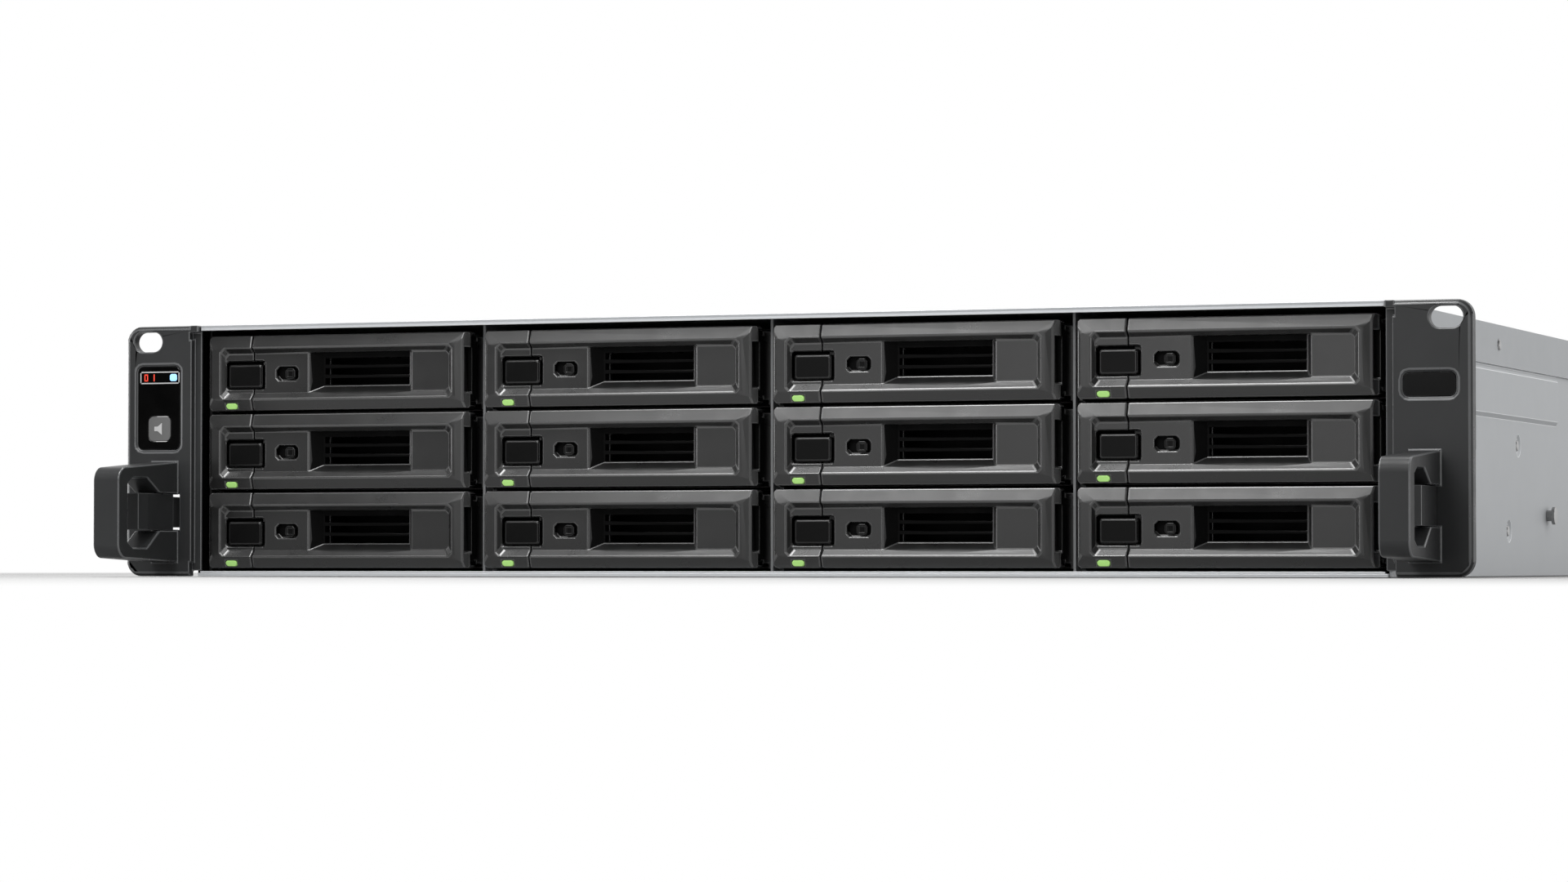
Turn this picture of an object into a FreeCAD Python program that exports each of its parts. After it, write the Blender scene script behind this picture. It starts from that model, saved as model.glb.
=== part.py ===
# Two-unit, twelve-bay disk shelf for a 19-inch rack, built as its separate pieces.
#
# Directions: +X is to the right when facing the front, +Y goes into the rack, +Z is up.
# Pieces are drawn with Y = 0 on the front face of the rack ears and Z = 0 under the floor.
# On export they are moved along Y, so that the origin is under the middle of the whole shelf.
import FreeCAD, Part
import math
import os
from FreeCAD import Vector

# ---------------------------------------------------------------- driving dimensions (mm)
# 3.5-inch drive, which sets the bays and through them the whole width and height
DRIVE_WIDTH = 101.6
DRIVE_HEIGHT = 26.1
DRIVE_LENGTH = 147.0

# Drive bays
COLUMNS = 4
ROWS = 3
DIVIDER_SHEET = 1.0
SIDE_RUNNER_SHEET = 0.75
BAY_CLEARANCE = 0.3
ROW_CLEARANCE = 1.45
FIRST_ROW_Z = 2.9
TOP_MARGIN = 2.55
DIVIDER_FRONT = 10.0
RUNNER_WIDTH = 1.25
RUNNER_SHEET = 0.8
RUNNER_START = 16.0
CONNECTOR_WIDTH = 44.0
CONNECTOR_HEIGHT = 5.5
CONNECTOR_DEPTH = 7.5
CONNECTOR_OFFSET = 2.0
BOARD_THICKNESS = 2.0
BOARD_AIR_MARGIN = 10.0
BOARD_AIR_LOW = 11.5
BOARD_AIR_HEIGHT = 7.0

# Rack ears, EIA-310, two units: the panel comes out 482.6 wide, with slots 465.1 apart
EAR_WING = 26.05
SLOT_INSET = 8.75
SLOT_DROP = 5.55
SLOT_LENGTH = 10.9
SLOT_WIDTH = 7.0

# Chassis shell
CHASSIS_DEPTH = 668.0
BASE_SHEET = 1.1
COVER_SHEET = 0.9
COVER_FLANGE = 14.4
COVER_GAP = 0.5
HEM_HEIGHT = 1.8
HEM_DEPTH = 1.6
SHELL_SETBACK = 1.5
SEAT_GAP = 0.2

# Embossed stiffening band along each side wall
BAND_HEIGHT = 18.0
BAND_LENGTH = 262.0
BAND_START = 6.0
BAND_SLOPE = 1.6

# Tray front
BEZEL_COLUMN_GAP = 5.3
BEZEL_ROW_GAP = 1.2
BEZEL_SETBACK = 3.0
BEZEL_DEPTH = 8.0
TOP_FACET = 4.5
BOTTOM_FACET = 4.0
FACET_SLOPE = 1.3
CORNER_CUT = 1.2
RECESS_MARGIN_LEFT = 5.0
RECESS_MARGIN_RIGHT = 6.6
RECESS_DEPTH = 2.0
RECESS_CORNER = 1.3
END_EASE = 1.6
END_SWEEP = 5.2
WALL_RUN_TOP = 1.75
WALL_RUN_BOTTOM = 2.15
WALL_RUN_LEFT = 1.1
WALL_RUN_RIGHT = 1.9
VENT_DEPTH = 5.2
VENT_SLOPE_LEFT = 38.7
VENT_LEFT = 43.6
VENT_PAD_GAP = 2.4
PAD_WIDTH = 14.3
VENT_FLOOR_Z = 8.6
VENT_TOP_Z = 18.2
VENT_BAR = 0.9
VENT_SLOTS = 3
VENT_RIM = 0.6
SEAM_X = 17.3
SEAM_GAP = 0.4

# Release button, lock slider and light pipe
BUTTON_X = 7.3
BUTTON_WIDTH = 13.2
BUTTON_Z = 7.95
BUTTON_HEIGHT = 8.3
BUTTON_THICKNESS = 4.0
BUTTON_TRAVEL = 1.8
BUTTON_PROUD = 0.25
POCKET_LEFT_GAP = 1.1
POCKET_RIGHT_GAP = 0.8
POCKET_TOP_GAP = 1.05
POCKET_BOTTOM_GAP = 0.3
POCKET_CHAMFER = 0.5
POCKET_CORNER = 0.7
STEM_WIDTH = 5.0
STEM_HEIGHT = 4.0
STEM_LENGTH = 5.0
STEM_GAP = 0.2
BUTTON_EDGE = 0.5
LOCK_WINDOW_X = 26.0
LOCK_WINDOW_WIDTH = 8.5
LOCK_WINDOW_Z = 10.35
LOCK_WINDOW_HEIGHT = 4.95
LOCK_WINDOW_DEPTH = 2.2
LOCK_SIZE = 3.9
LOCK_PROUD = 0.3
LOCK_RING = 0.9
LOCK_STOP = 1.3
LOCK_DISH = 0.5
LOCK_WINDOW_CORNER = 1.2
LED_X = 7.0
LED_WIDTH = 4.3
LED_Z = 0.6
LED_HEIGHT = 2.0
LED_PROUD = 0.15
LED_SEAT = 1.0
LED_CORNER = 0.6

# Swing handle hinge
HINGE_INSET = 3.7
HINGE_DEPTH = 5.5
HINGE_PIN_R = 1.0
HINGE_FIT = 0.05
BARREL_R = 2.2
LUG_SHEET = 1.6
LUG_Z = 1.2
LUG_GAP = 0.3
NOTCH_WIDTH = 1.8
NOTCH_HEIGHT = 15.6
NOTCH_DEPTH = 4.2
NOTCH_RIM = 0.5

# Tray carrier and 3.5-inch drive
CARRIER_SHEET = 1.35
CARRIER_FRONT = 9.2
CARRIER_FRONT_SHEET = 2.0
CARRIER_TAIL = 4.2
RAIL_DROP = 1.55
STRIP_WIDTH = 16.0
STRIP_INSET = 6.0
DRIVE_GAP = 0.3
DRIVE_START = 24.0
DRIVE_LIFT = 0.5
DRIVE_LID = 0.7
LID_MARGIN = 3.0
LID_CORNER = 7.0
LID_TAIL = 30.0
DRIVE_NOTCH_INSET = 5.0
DRIVE_NOTCH_HEIGHT = 7.5
DRIVE_NOTCH_DEPTH = 4.0
FRONT_BLOCK_DEPTH = 14.0

# Rack ears, grips and latches
EAR_THICKNESS = 3.9
EAR_STRIP_EDGE = 25.3
EAR_STRIP_SETBACK = 2.6
EAR_RELIEF = 0.4
EAR_TAB = 2.3
EAR_CORNER = 5.5
EAR_EDGE = 1.2
EAR_FLANGE_SHEET = 1.5
EAR_FLANGE_LENGTH = 52.0
EAR_FLANGE_MARGIN = 5.0
GRIP_INSET = 10.7
GRIP_WIDTH = 10.0
GRIP_REACH = 41.5
GRIP_DROP = 3.5
GRIP_BOTTOM = 4.9
GRIP_TAPER_TOP = 2.5
GRIP_TAPER_BOTTOM = 1.4
GRIP_CORNER = 5.0
GRIP_BAR = 6.5
GRIP_FOOT = 11.0
GRIP_ARM = 3.4
GRIP_SLANT = 9.0
GRIP_FOOT_DEPTH = 12.6
GRIP_SHOULDER = 4.2
GRIP_DROOP = 2.3
LATCH_LENGTH = 24.0
LATCH_SIDE_GAP = 1.0
LATCH_GAP = 0.3
LATCH_PIVOT_Y = -6.0
LATCH_BACK = 1.1
LATCH_CHAMFER = 2.4
LATCH_PIN_R = 1.5
LATCH_PIN_FIT = 0.06
LATCH_PIN_LENGTH = 4.0
LATCH_HOOK_INSET = 0.6
LATCH_HOOK_WIDTH = 3.6
LATCH_HOOK_REACH = 14.0
LATCH_HOOK_TOOTH = 2.2
LATCH_TOOTH_LENGTH = 6.0
LATCH_HOOK_TRIM = 1.0
HOOK_HOLE_MARGIN = 0.8
HOOK_HOLE_EDGE = 2.0
HOOK_HOLE_TRIM = 0.3

# Control window, mute button and bare plate, let into the ears
WINDOW_INSET = 13.0
WINDOW_DROP = 28.9
WINDOW_WIDTH = 16.6
WINDOW_HEIGHT = 29.2
PLATE_INSET = 14.2
PLATE_DROP = 26.9
PLATE_WIDTH = 17.0
PLATE_HEIGHT = 7.6
INLAY_THICKNESS = 1.4
INLAY_SUNK = 0.5
INLAY_RIM = 0.9
INLAY_CORNER = 1.9
INLAY_GAP = 0.15
MUTE_INSET = 13.3
MUTE_DROP = 36.2
MUTE_SIZE = 8.6
MUTE_CORNER = 1.8
MUTE_GAP = 0.2
MUTE_PROUD = 0.25
MUTE_CAP = 2.6
MUTE_FOOT = 3.0
MUTE_STOP = 0.2
CORNER_STEPS = 3

# Fan wall
FAN_MARGIN = 2.95
FAN_DEPTH = 32.0
FAN_STANDOFF = 32.5
FAN_RIM = 1.7
FAN_TIP_GAP = 0.8
FAN_HUB_R = 18.0
FAN_HUB_SETBACK = 2.0
FAN_HUB_GAP = 1.0
FAN_BLADES = 5
FAN_BLADE_SWEEP = 8.0
FAN_BLADE_RISE = 9.0
FAN_BLADE_SKIN = 0.9
FAN_STRUTS = 4
FAN_STRUT_WIDTH = 4.0
FAN_STRUT_DEPTH = 3.0
FAN_SHAFT_R = 2.0
FAN_SHAFT_LENGTH = 8.0
FAN_SHAFT_FIT = 0.08
FAN_WALL_SHEET = 1.0
DUCT_SIDES = 16
HUB_SIDES = 12

# Rear modules
MODULE_GAP = 0.5
SHELF_SHEET = 1.2
MODULE_SHEET = 1.0
PSU_WIDTH = 107.0
PSU_LENGTH = 240.0
PSU_HANDLE_REACH = 14.5
PSU_HANDLE_INSET = 26.0
PSU_HANDLE_BAR = 5.0
PSU_HANDLE_END = 6.0
PSU_TAB_TRAVEL = 2.5
PSU_TAB_INSET = 5.0
PSU_TAB_WIDTH = 9.6
PSU_TAB_HEIGHT = 12.4
PSU_TAB_GAP = 0.4
PSU_THUMB_HEIGHT = 11.0
PSU_THUMB_REACH = 9.0
PSU_THUMB_INSET = 2.5
PSU_THUMB_ROOT = 3.0
PSU_THUMB_TIP = 1.8
INLET_WIDTH = 27.5
INLET_HEIGHT = 20.0
INLET_DEPTH = 17.0
INLET_INSET = 8.0
INLET_WALL = 2.0
INLET_CORNER = 3.0
INLET_PIN = 2.0
INLET_PIN_HEIGHT = 4.0
INLET_PIN_SPREAD = 7.0
INLET_PIN_LIFT = 4.0
INLET_PIN_SETBACK = 5.0
IO_LENGTH = 266.0
SAS_PORTS = 2
SAS_WIDTH = 17.5
SAS_HEIGHT = 8.5
SAS_DEPTH = 18.0
SAS_PITCH = 34.0
SAS_START = 150.0
SAS_LIFT = 12.0
SAS_CAGE = 1.2
SAS_PROUD = 0.8
LEVER_LENGTH = 72.0
LEVER_HEIGHT = 9.0
LEVER_THICKNESS = 5.0
LEVER_LIFT = 6.0
LEVER_INSET = 11.0
LEVER_STANDOFF = 0.5
LEVER_EAR = 2.0
LEVER_EAR_WIDTH = 10.0
LEVER_EAR_GAP = 0.2
LEVER_PIN_R = 1.5
LEVER_PIN_FIT = 0.06
LEVER_GROOVE = 1.2
LEVER_GROOVE_START = 8.0
LEVER_GROOVE_END = 12.0
VENT_SLOT = 4.0
VENT_PITCH = 8.0
IO_VENT_START = 12.0
IO_VENT_END = 130.0
IO_VENT_LIFT = 17.0
REAR_VENT_MARGIN = 4.0
REAR_BOARD_GAP = 10.0

# Pins and fasteners; small pins are drawn with flat sides
PIN_SIDES = 12
SCREW_HEAD_R = 2.6
SCREW_HEAD = 0.6
SCREW_TAPER = 0.5
SCREW_SIDES = 12
STUD_R = 3.2
STUD_NECK_R = 2.0
STUD_HEAD = 1.2
STUD_LENGTH = 3.2
DIMPLE_R = 4.0
DIMPLE_DEPTH = 0.8
COVER_SCREW_Z = 81.0
COVER_SCREW_START = 158.0
COVER_SCREW_BACKS = (248.0, 28.0)
HIGH_DIMPLE_Z = 46.5
HIGH_DIMPLE_START = 194.0
HIGH_DIMPLE_BACK = 208.0
LOW_DIMPLE_Z = 16.0
LOW_DIMPLE_START = 178.0
LOW_DIMPLE_BACK = 224.0
STUD_Z = 22.0
STUD_START = 244.0
STUD_BACK = 158.0

# How far a cutting or joining shape runs past the surface that it meets
OVER = 1.0

# ---------------------------------------------------------------- sizes that follow
CARRIER_WIDTH = DRIVE_WIDTH + 2 * (DRIVE_GAP + CARRIER_SHEET)
COLUMN_PITCH = CARRIER_WIDTH + 2 * BAY_CLEARANCE + DIVIDER_SHEET
ROW_PITCH = DRIVE_HEIGHT + ROW_CLEARANCE
BEZEL_WIDTH = COLUMN_PITCH - BEZEL_COLUMN_GAP
BEZEL_HEIGHT = ROW_PITCH - BEZEL_ROW_GAP
PANEL_HEIGHT = FIRST_ROW_Z + ROWS * ROW_PITCH + TOP_MARGIN
BAYS_HALF = COLUMNS * COLUMN_PITCH / 2 - DIVIDER_SHEET / 2
WALL_INNER = BAYS_HALF + SIDE_RUNNER_SHEET
WALL_OUTER = WALL_INNER + BASE_SHEET
HALF_CHASSIS = WALL_OUTER + COVER_SHEET
HALF_PANEL = HALF_CHASSIS + EAR_WING
COVER_UNDERSIDE = PANEL_HEIGHT - COVER_SHEET
WALL_TOP = COVER_UNDERSIDE - SEAT_GAP
BAND_TOP = PANEL_HEIGHT - COVER_FLANGE - COVER_GAP
EAR_INNER = BAYS_HALF
EAR_STEP = HALF_PANEL - EAR_STRIP_EDGE
HEM_HALF = EAR_INNER - SEAT_GAP
SHELL_START = EAR_THICKNESS - EAR_RELIEF + SEAT_GAP
PAD_LEFT = BEZEL_WIDTH - RECESS_MARGIN_RIGHT - WALL_RUN_RIGHT - PAD_WIDTH
VENT_RIGHT = PAD_LEFT - VENT_PAD_GAP
CARRIER_OVERHANG = (CARRIER_WIDTH - BEZEL_WIDTH) / 2
CARRIER_BACK = DRIVE_START + DRIVE_LENGTH + CARRIER_TAIL
RAIL_HEIGHT = BEZEL_HEIGHT - RAIL_DROP
BACKPLANE_FRONT = BEZEL_SETBACK + DRIVE_START + DRIVE_LENGTH + CONNECTOR_DEPTH
GAP_LEFT = SEAM_X - SEAM_GAP / 2
GAP_RIGHT = SEAM_X + SEAM_GAP / 2
STEM_X = (BUTTON_X - POCKET_LEFT_GAP + GAP_LEFT) / 2
STEM_Z = BUTTON_Z + BUTTON_HEIGHT / 2
HINGE_X = BEZEL_WIDTH - HINGE_INSET
HINGE_LOW = LUG_Z + LUG_SHEET
HINGE_HIGH = BEZEL_HEIGHT - HINGE_LOW
SLOT_X = HALF_PANEL - SLOT_INSET
SLOT_Z = PANEL_HEIGHT - SLOT_DROP
WINDOW_X = HALF_PANEL - WINDOW_INSET
WINDOW_Z = PANEL_HEIGHT - WINDOW_DROP
PLATE_X = HALF_PANEL - PLATE_INSET
PLATE_Z = PANEL_HEIGHT - PLATE_DROP
MUTE_X = HALF_PANEL - MUTE_INSET
MUTE_Z = PANEL_HEIGHT - MUTE_DROP
GRIP_TOP = WINDOW_Z - WINDOW_HEIGHT / 2 - INLAY_RIM - GRIP_DROP
GRIP_OUTER = HALF_PANEL - GRIP_INSET
GRIP_INNER = GRIP_OUTER - GRIP_WIDTH
WINDOW_LOW = GRIP_BOTTOM + GRIP_FOOT
WINDOW_HIGH = GRIP_TOP - GRIP_FOOT
OVERALL_DEPTH = GRIP_REACH + CHASSIS_DEPTH + PSU_HANDLE_REACH
ORIGIN_Y = OVERALL_DEPTH / 2 - GRIP_REACH
FAN_SIZE = WALL_TOP - BASE_SHEET - 2 * FAN_MARGIN
FAN_RING_R = FAN_SIZE / 2 - FAN_RIM
FAN_FRONT = BACKPLANE_FRONT + BOARD_THICKNESS + FAN_STANDOFF
MODULE_FLOOR = BASE_SHEET + MODULE_GAP
MODULE_HEIGHT = (WALL_TOP - BASE_SHEET - SHELF_SHEET) / 2 - 2 * MODULE_GAP
MODULE_PITCH = MODULE_HEIGHT + 2 * MODULE_GAP + SHELF_SHEET
PSU_RIGHT = WALL_INNER - MODULE_GAP
PSU_LEFT = PSU_RIGHT - PSU_WIDTH
SPLIT_RIGHT = PSU_LEFT - MODULE_GAP
SPLIT_LEFT = SPLIT_RIGHT - SHELF_SHEET
IO_RIGHT = SPLIT_LEFT - MODULE_GAP
IO_LEFT = -WALL_INNER + MODULE_GAP
REAR_BOARD_Y = CHASSIS_DEPTH - IO_LENGTH - REAR_BOARD_GAP - BOARD_THICKNESS
SHELF_START = REAR_BOARD_Y + BOARD_THICKNESS + SEAT_GAP
LEVER_PIVOT_X = IO_RIGHT - LEVER_INSET
LEVER_PIVOT_Y = CHASSIS_DEPTH + LEVER_STANDOFF + LEVER_THICKNESS / 2


# ---------------------------------------------------------------- drawing helpers
def block(x, y, z):
    """A rectangular block, each side given as (low, high)."""
    corner = Vector(x[0], y[0], z[0])
    return Part.makeBox(x[1] - x[0], y[1] - y[0], z[1] - z[0], corner)


def wire(points):
    """A closed outline through 3-D points."""
    corners = [Vector(*point) for point in points]
    return Part.makePolygon(corners + [corners[0]])


def prism_x(outline, x):
    """An outline of (y, z) points, drawn out along X."""
    face = Part.Face(wire([(x[0], point[0], point[1]) for point in outline]))
    return face.extrude(Vector(x[1] - x[0], 0, 0))


def prism_y(outline, y):
    """An outline of (x, z) points, drawn out along Y."""
    face = Part.Face(wire([(point[0], y[0], point[1]) for point in outline]))
    return face.extrude(Vector(0, y[1] - y[0], 0))


def prism_z(outline, z):
    """An outline of (x, y) points, drawn out along Z."""
    face = Part.Face(wire([(point[0], point[1], z[0]) for point in outline]))
    return face.extrude(Vector(0, 0, z[1] - z[0]))


def cut_corners(x, z, size):
    """The (x, z) outline of a rectangle with its four corners cut at 45 degrees."""
    return [(x[0] + size, z[0]), (x[1] - size, z[0]), (x[1], z[0] + size), (x[1], z[1] - size),
            (x[1] - size, z[1]), (x[0] + size, z[1]), (x[0], z[1] - size), (x[0], z[0] + size)]


def funnel(near, near_y, far, far_y):
    """A straight-sided cavity between two (x, z) outlines with as many corners."""
    near_wire = wire([(point[0], near_y, point[1]) for point in near])
    far_wire = wire([(point[0], far_y, point[1]) for point in far])
    return Part.makeLoft([near_wire, far_wire], True, True)


def rounded_outline(x, z, radius):
    """The (x, z) outline of a rectangle with round corners, each turned in a few short steps."""
    centres = [(x[1] - radius, z[0] + radius, -90), (x[1] - radius, z[1] - radius, 0),
               (x[0] + radius, z[1] - radius, 90), (x[0] + radius, z[0] + radius, 180)]
    outline = []
    for centre_x, centre_z, start in centres:
        for step in range(CORNER_STEPS + 1):
            turn = math.radians(start + 90 * step / CORNER_STEPS)
            outline.append((centre_x + radius * math.cos(turn), centre_z + radius * math.sin(turn)))
    return outline


def ring_outline(u, v, radius, sides):
    """A regular polygon whose flats touch a circle, as (u, v) points."""
    corner = radius / math.cos(math.pi / sides)
    turns = [2 * math.pi * (step + 0.5) / sides for step in range(sides)]
    return [(u + corner * math.cos(turn), v + corner * math.sin(turn)) for turn in turns]


def pin_outline(u, v, radius):
    """A twelve-sided pin that just fits inside a circle, as (u, v) points."""
    return ring_outline(u, v, radius * math.cos(math.pi / PIN_SIDES), PIN_SIDES)


def is_along(edge, direction):
    """True for a straight edge that runs along a direction."""
    run = edge.Vertexes[-1].Point - edge.Vertexes[0].Point
    return run.Length > 0 and run.cross(direction).Length < 1e-6 * run.Length


def rod(x, y, z, radius, length, direction):
    """A cylinder that starts at a point."""
    return Part.makeCylinder(radius, length, Vector(x, y, z), Vector(*direction))


def mirrored(shape):
    """The same piece for the other side of the shelf."""
    return shape.mirror(Vector(0, 0, 0), Vector(1, 0, 0))


def union(shapes):
    """One solid out of several that touch or overlap."""
    joined = shapes[0].fuse(shapes[1:]) if len(shapes) > 1 else shapes[0]
    return joined.removeSplitter()


def group(shapes):
    """Several separate solids in one node."""
    return Part.makeCompound(shapes)


def save(name, shape):
    """Write one node, moved from the ear plane to the shelf's own origin."""
    placed = shape.copy()
    placed.translate(Vector(0, -ORIGIN_Y, 0))
    placed.exportStep("parts/" + name + ".step")


# ---------------------------------------------------------------- sheet-metal shell
def side_band():
    """The raised band on the right side wall, with sloped long edges and a sloped end."""
    raise_by = COVER_SHEET
    low = BAND_TOP - BAND_HEIGHT
    near = cut_corners((BAND_START, BAND_LENGTH), (low, BAND_TOP), BAND_SLOPE)
    far = cut_corners((BAND_START + BAND_SLOPE, BAND_LENGTH - BAND_SLOPE),
                      (low + BAND_SLOPE, BAND_TOP - BAND_SLOPE), BAND_SLOPE / 2)
    inner = wire([(WALL_OUTER, point[0], point[1]) for point in near])
    outer = wire([(WALL_OUTER + raise_by, point[0], point[1]) for point in far])
    return Part.makeLoft([inner, outer], True, True)


def side_dimple(y, z):
    """The cone that is pressed into the side wall round a countersunk screw."""
    inner = wire([(WALL_OUTER - DIMPLE_DEPTH, point[0], point[1])
                  for point in ring_outline(y, z, SCREW_HEAD_R, SCREW_SIDES)])
    outer = wire([(WALL_OUTER, point[0], point[1]) for point in ring_outline(y, z, DIMPLE_R, SCREW_SIDES)])
    return Part.makeLoft([inner, outer], True, True)


def dimple_places():
    """The (y, z) places of the countersunk side screws."""
    high = [(y, HIGH_DIMPLE_Z) for y in (HIGH_DIMPLE_START, CHASSIS_DEPTH - HIGH_DIMPLE_BACK)]
    low = [(y, LOW_DIMPLE_Z) for y in (LOW_DIMPLE_START, CHASSIS_DEPTH - LOW_DIMPLE_BACK)]
    return high + low


def chassis_base():
    """A floor pan with a hemmed front edge, welded between two side walls and open at the back."""
    floor = block((-WALL_INNER, WALL_INNER), (SHELL_SETBACK, CHASSIS_DEPTH), (0, BASE_SHEET))
    hem_y = (SHELL_SETBACK, SHELL_SETBACK + HEM_DEPTH)
    hem = block((-HEM_HALF, HEM_HALF), hem_y, (BASE_SHEET, HEM_HEIGHT))
    wall = block((WALL_INNER, WALL_OUTER), (SHELL_START, CHASSIS_DEPTH), (0, WALL_TOP))
    for y, z in dimple_places():
        wall = wall.cut(side_dimple(y, z))
    wall = union([wall, side_band()])
    return group([floor, hem, wall, mirrored(wall)])


def rear_shelf():
    """The shelf and upright that divide the four rear module bays."""
    low = BASE_SHEET + 2 * MODULE_GAP + MODULE_HEIGHT
    y = (SHELF_START, CHASSIS_DEPTH)
    shelf = block((-WALL_INNER, WALL_INNER), y, (low, low + SHELF_SHEET))
    upright = block((SPLIT_LEFT, SPLIT_RIGHT), y, (BASE_SHEET, WALL_TOP))
    return union([shelf, upright])


def top_cover():
    """The lid sheet with its hemmed front edge, and a flange along each side."""
    behind_ears = (SHELL_START, CHASSIS_DEPTH)
    between_ears = (-HEM_HALF, HEM_HALF)
    sheet_z = (COVER_UNDERSIDE, PANEL_HEIGHT)
    top = block((-WALL_OUTER, WALL_OUTER), behind_ears, sheet_z)
    lip = block(between_ears, (SHELL_SETBACK, behind_ears[0]), sheet_z)
    hem = block(between_ears, (SHELL_SETBACK, SHELL_SETBACK + HEM_DEPTH),
                (PANEL_HEIGHT - HEM_HEIGHT, COVER_UNDERSIDE))
    flange = block((WALL_OUTER, HALF_CHASSIS), behind_ears, (PANEL_HEIGHT - COVER_FLANGE, PANEL_HEIGHT))
    return group([union([top, lip]), hem, flange, mirrored(flange)])


# ---------------------------------------------------------------- drive bays
def column_centre(column):
    """X of a bay column, counted from the left."""
    return (column - (COLUMNS - 1) / 2) * COLUMN_PITCH


def row_bottom(row):
    """Z of the underside of a tray front, rows counted from the top."""
    return FIRST_ROW_Z + (ROWS - 1 - row) * ROW_PITCH


def runner(x, row):
    """One ledge that carries a tray rail, with its front end cut to a lead-in."""
    top = row_bottom(row) - DRIVE_LIFT / 2
    return block(x, (RUNNER_START, BACKPLANE_FRONT - SEAT_GAP), (top - RUNNER_SHEET, top))


def bay_divider(x, sheet, sides):
    """An upright sheet between two columns with runners on the given sides."""
    z = (BASE_SHEET, WALL_TOP)
    pieces = [block((x - sheet / 2, x + sheet / 2), (DIVIDER_FRONT, BACKPLANE_FRONT - SEAT_GAP), z)]
    for row in range(ROWS):
        for side in sides:
            root = x + side * sheet / 2
            tip = root + side * (BAY_CLEARANCE + RUNNER_WIDTH)
            pieces.append(runner((min(root, tip), max(root, tip)), row))
    return union(pieces)


def drive_cage():
    """Three dividers and two side runner plates, riveted to the floor and walls."""
    dividers = []
    for index in range(1, COLUMNS):
        x = column_centre(index) - COLUMN_PITCH / 2
        dividers.append(bay_divider(x, DIVIDER_SHEET, (-1, 1)))
    side_x = BAYS_HALF + SIDE_RUNNER_SHEET / 2
    side = bay_divider(side_x, SIDE_RUNNER_SHEET, (-1,))
    return group(dividers + [side, mirrored(side)])


def drive_connector(column, row):
    """The connector that a drive plugs into."""
    low = row_bottom(row) + DRIVE_LIFT + CONNECTOR_OFFSET
    right = column_centre(column) - CONNECTOR_OFFSET
    drive_back = BEZEL_SETBACK + DRIVE_START + DRIVE_LENGTH
    return block((right - CONNECTOR_WIDTH, right), (drive_back + SEAT_GAP, BACKPLANE_FRONT),
                 (low, low + CONNECTOR_HEIGHT))


def air_hole(column, row):
    """The opening in the drive board behind a bay, for cooling air."""
    half = COLUMN_PITCH / 2 - BOARD_AIR_MARGIN
    middle = column_centre(column)
    low = row_bottom(row) + BOARD_AIR_LOW
    y = (BACKPLANE_FRONT - OVER, BACKPLANE_FRONT + BOARD_THICKNESS + OVER)
    return block((middle - half, middle + half), y, (low, low + BOARD_AIR_HEIGHT))


def backplane():
    """The drive board with its connectors, and the board that the expander modules plug into."""
    z = (BASE_SHEET + SEAT_GAP, WALL_TOP)
    left = -WALL_INNER + SEAT_GAP
    board = block((left, -left), (BACKPLANE_FRONT, BACKPLANE_FRONT + BOARD_THICKNESS), z)
    connectors = []
    for column in range(COLUMNS):
        for row in range(ROWS):
            board = board.cut(air_hole(column, row))
            connectors.append(drive_connector(column, row))
    rear_board = block((left, SPLIT_LEFT - SEAT_GAP), (REAR_BOARD_Y, REAR_BOARD_Y + BOARD_THICKNESS), z)
    return group([board, rear_board] + connectors)


# ---------------------------------------------------------------- tray front
def bezel_blank(depth):
    """The tray front before its recess: sloped top and bottom facets, swept-back ends."""
    height = BEZEL_HEIGHT
    width = BEZEL_WIDTH
    profile = [(FACET_SLOPE, 0), (0, BOTTOM_FACET), (0, height - TOP_FACET), (FACET_SLOPE, height),
               (depth, height), (depth, 0)]
    eased = [math.radians(turn) for turn in (0, 45, 90)]
    swept = [math.radians(turn) for turn in (0, 30, 60, 90)]
    plan = [(END_EASE * (1 - math.cos(turn)), END_EASE * (1 - math.sin(turn))) for turn in eased]
    plan += [(width - END_SWEEP * (1 - math.sin(turn)), END_SWEEP * (1 - math.cos(turn))) for turn in swept]
    plan += [(width, depth), (0, depth)]
    front = cut_corners((0, width), (0, height), CORNER_CUT)
    blank = prism_x(profile, (0, width)).common(prism_z(plan, (0, height)))
    return blank.common(prism_y(front, (0, depth)))


def recess():
    """The finger recess: sloped walls down to the level of the block and the pad."""
    left = RECESS_MARGIN_LEFT
    right = BEZEL_WIDTH - RECESS_MARGIN_RIGHT
    low = BOTTOM_FACET
    high = BEZEL_HEIGHT - TOP_FACET
    mouth = cut_corners((left, right), (low, high), RECESS_CORNER)
    floor = cut_corners((left + WALL_RUN_LEFT, right - WALL_RUN_RIGHT),
                        (low + WALL_RUN_BOTTOM, high - WALL_RUN_TOP), RECESS_CORNER)
    lead = prism_y(mouth, (-OVER, 0))
    return lead.fuse(funnel(mouth, 0, floor, RECESS_DEPTH))


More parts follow.
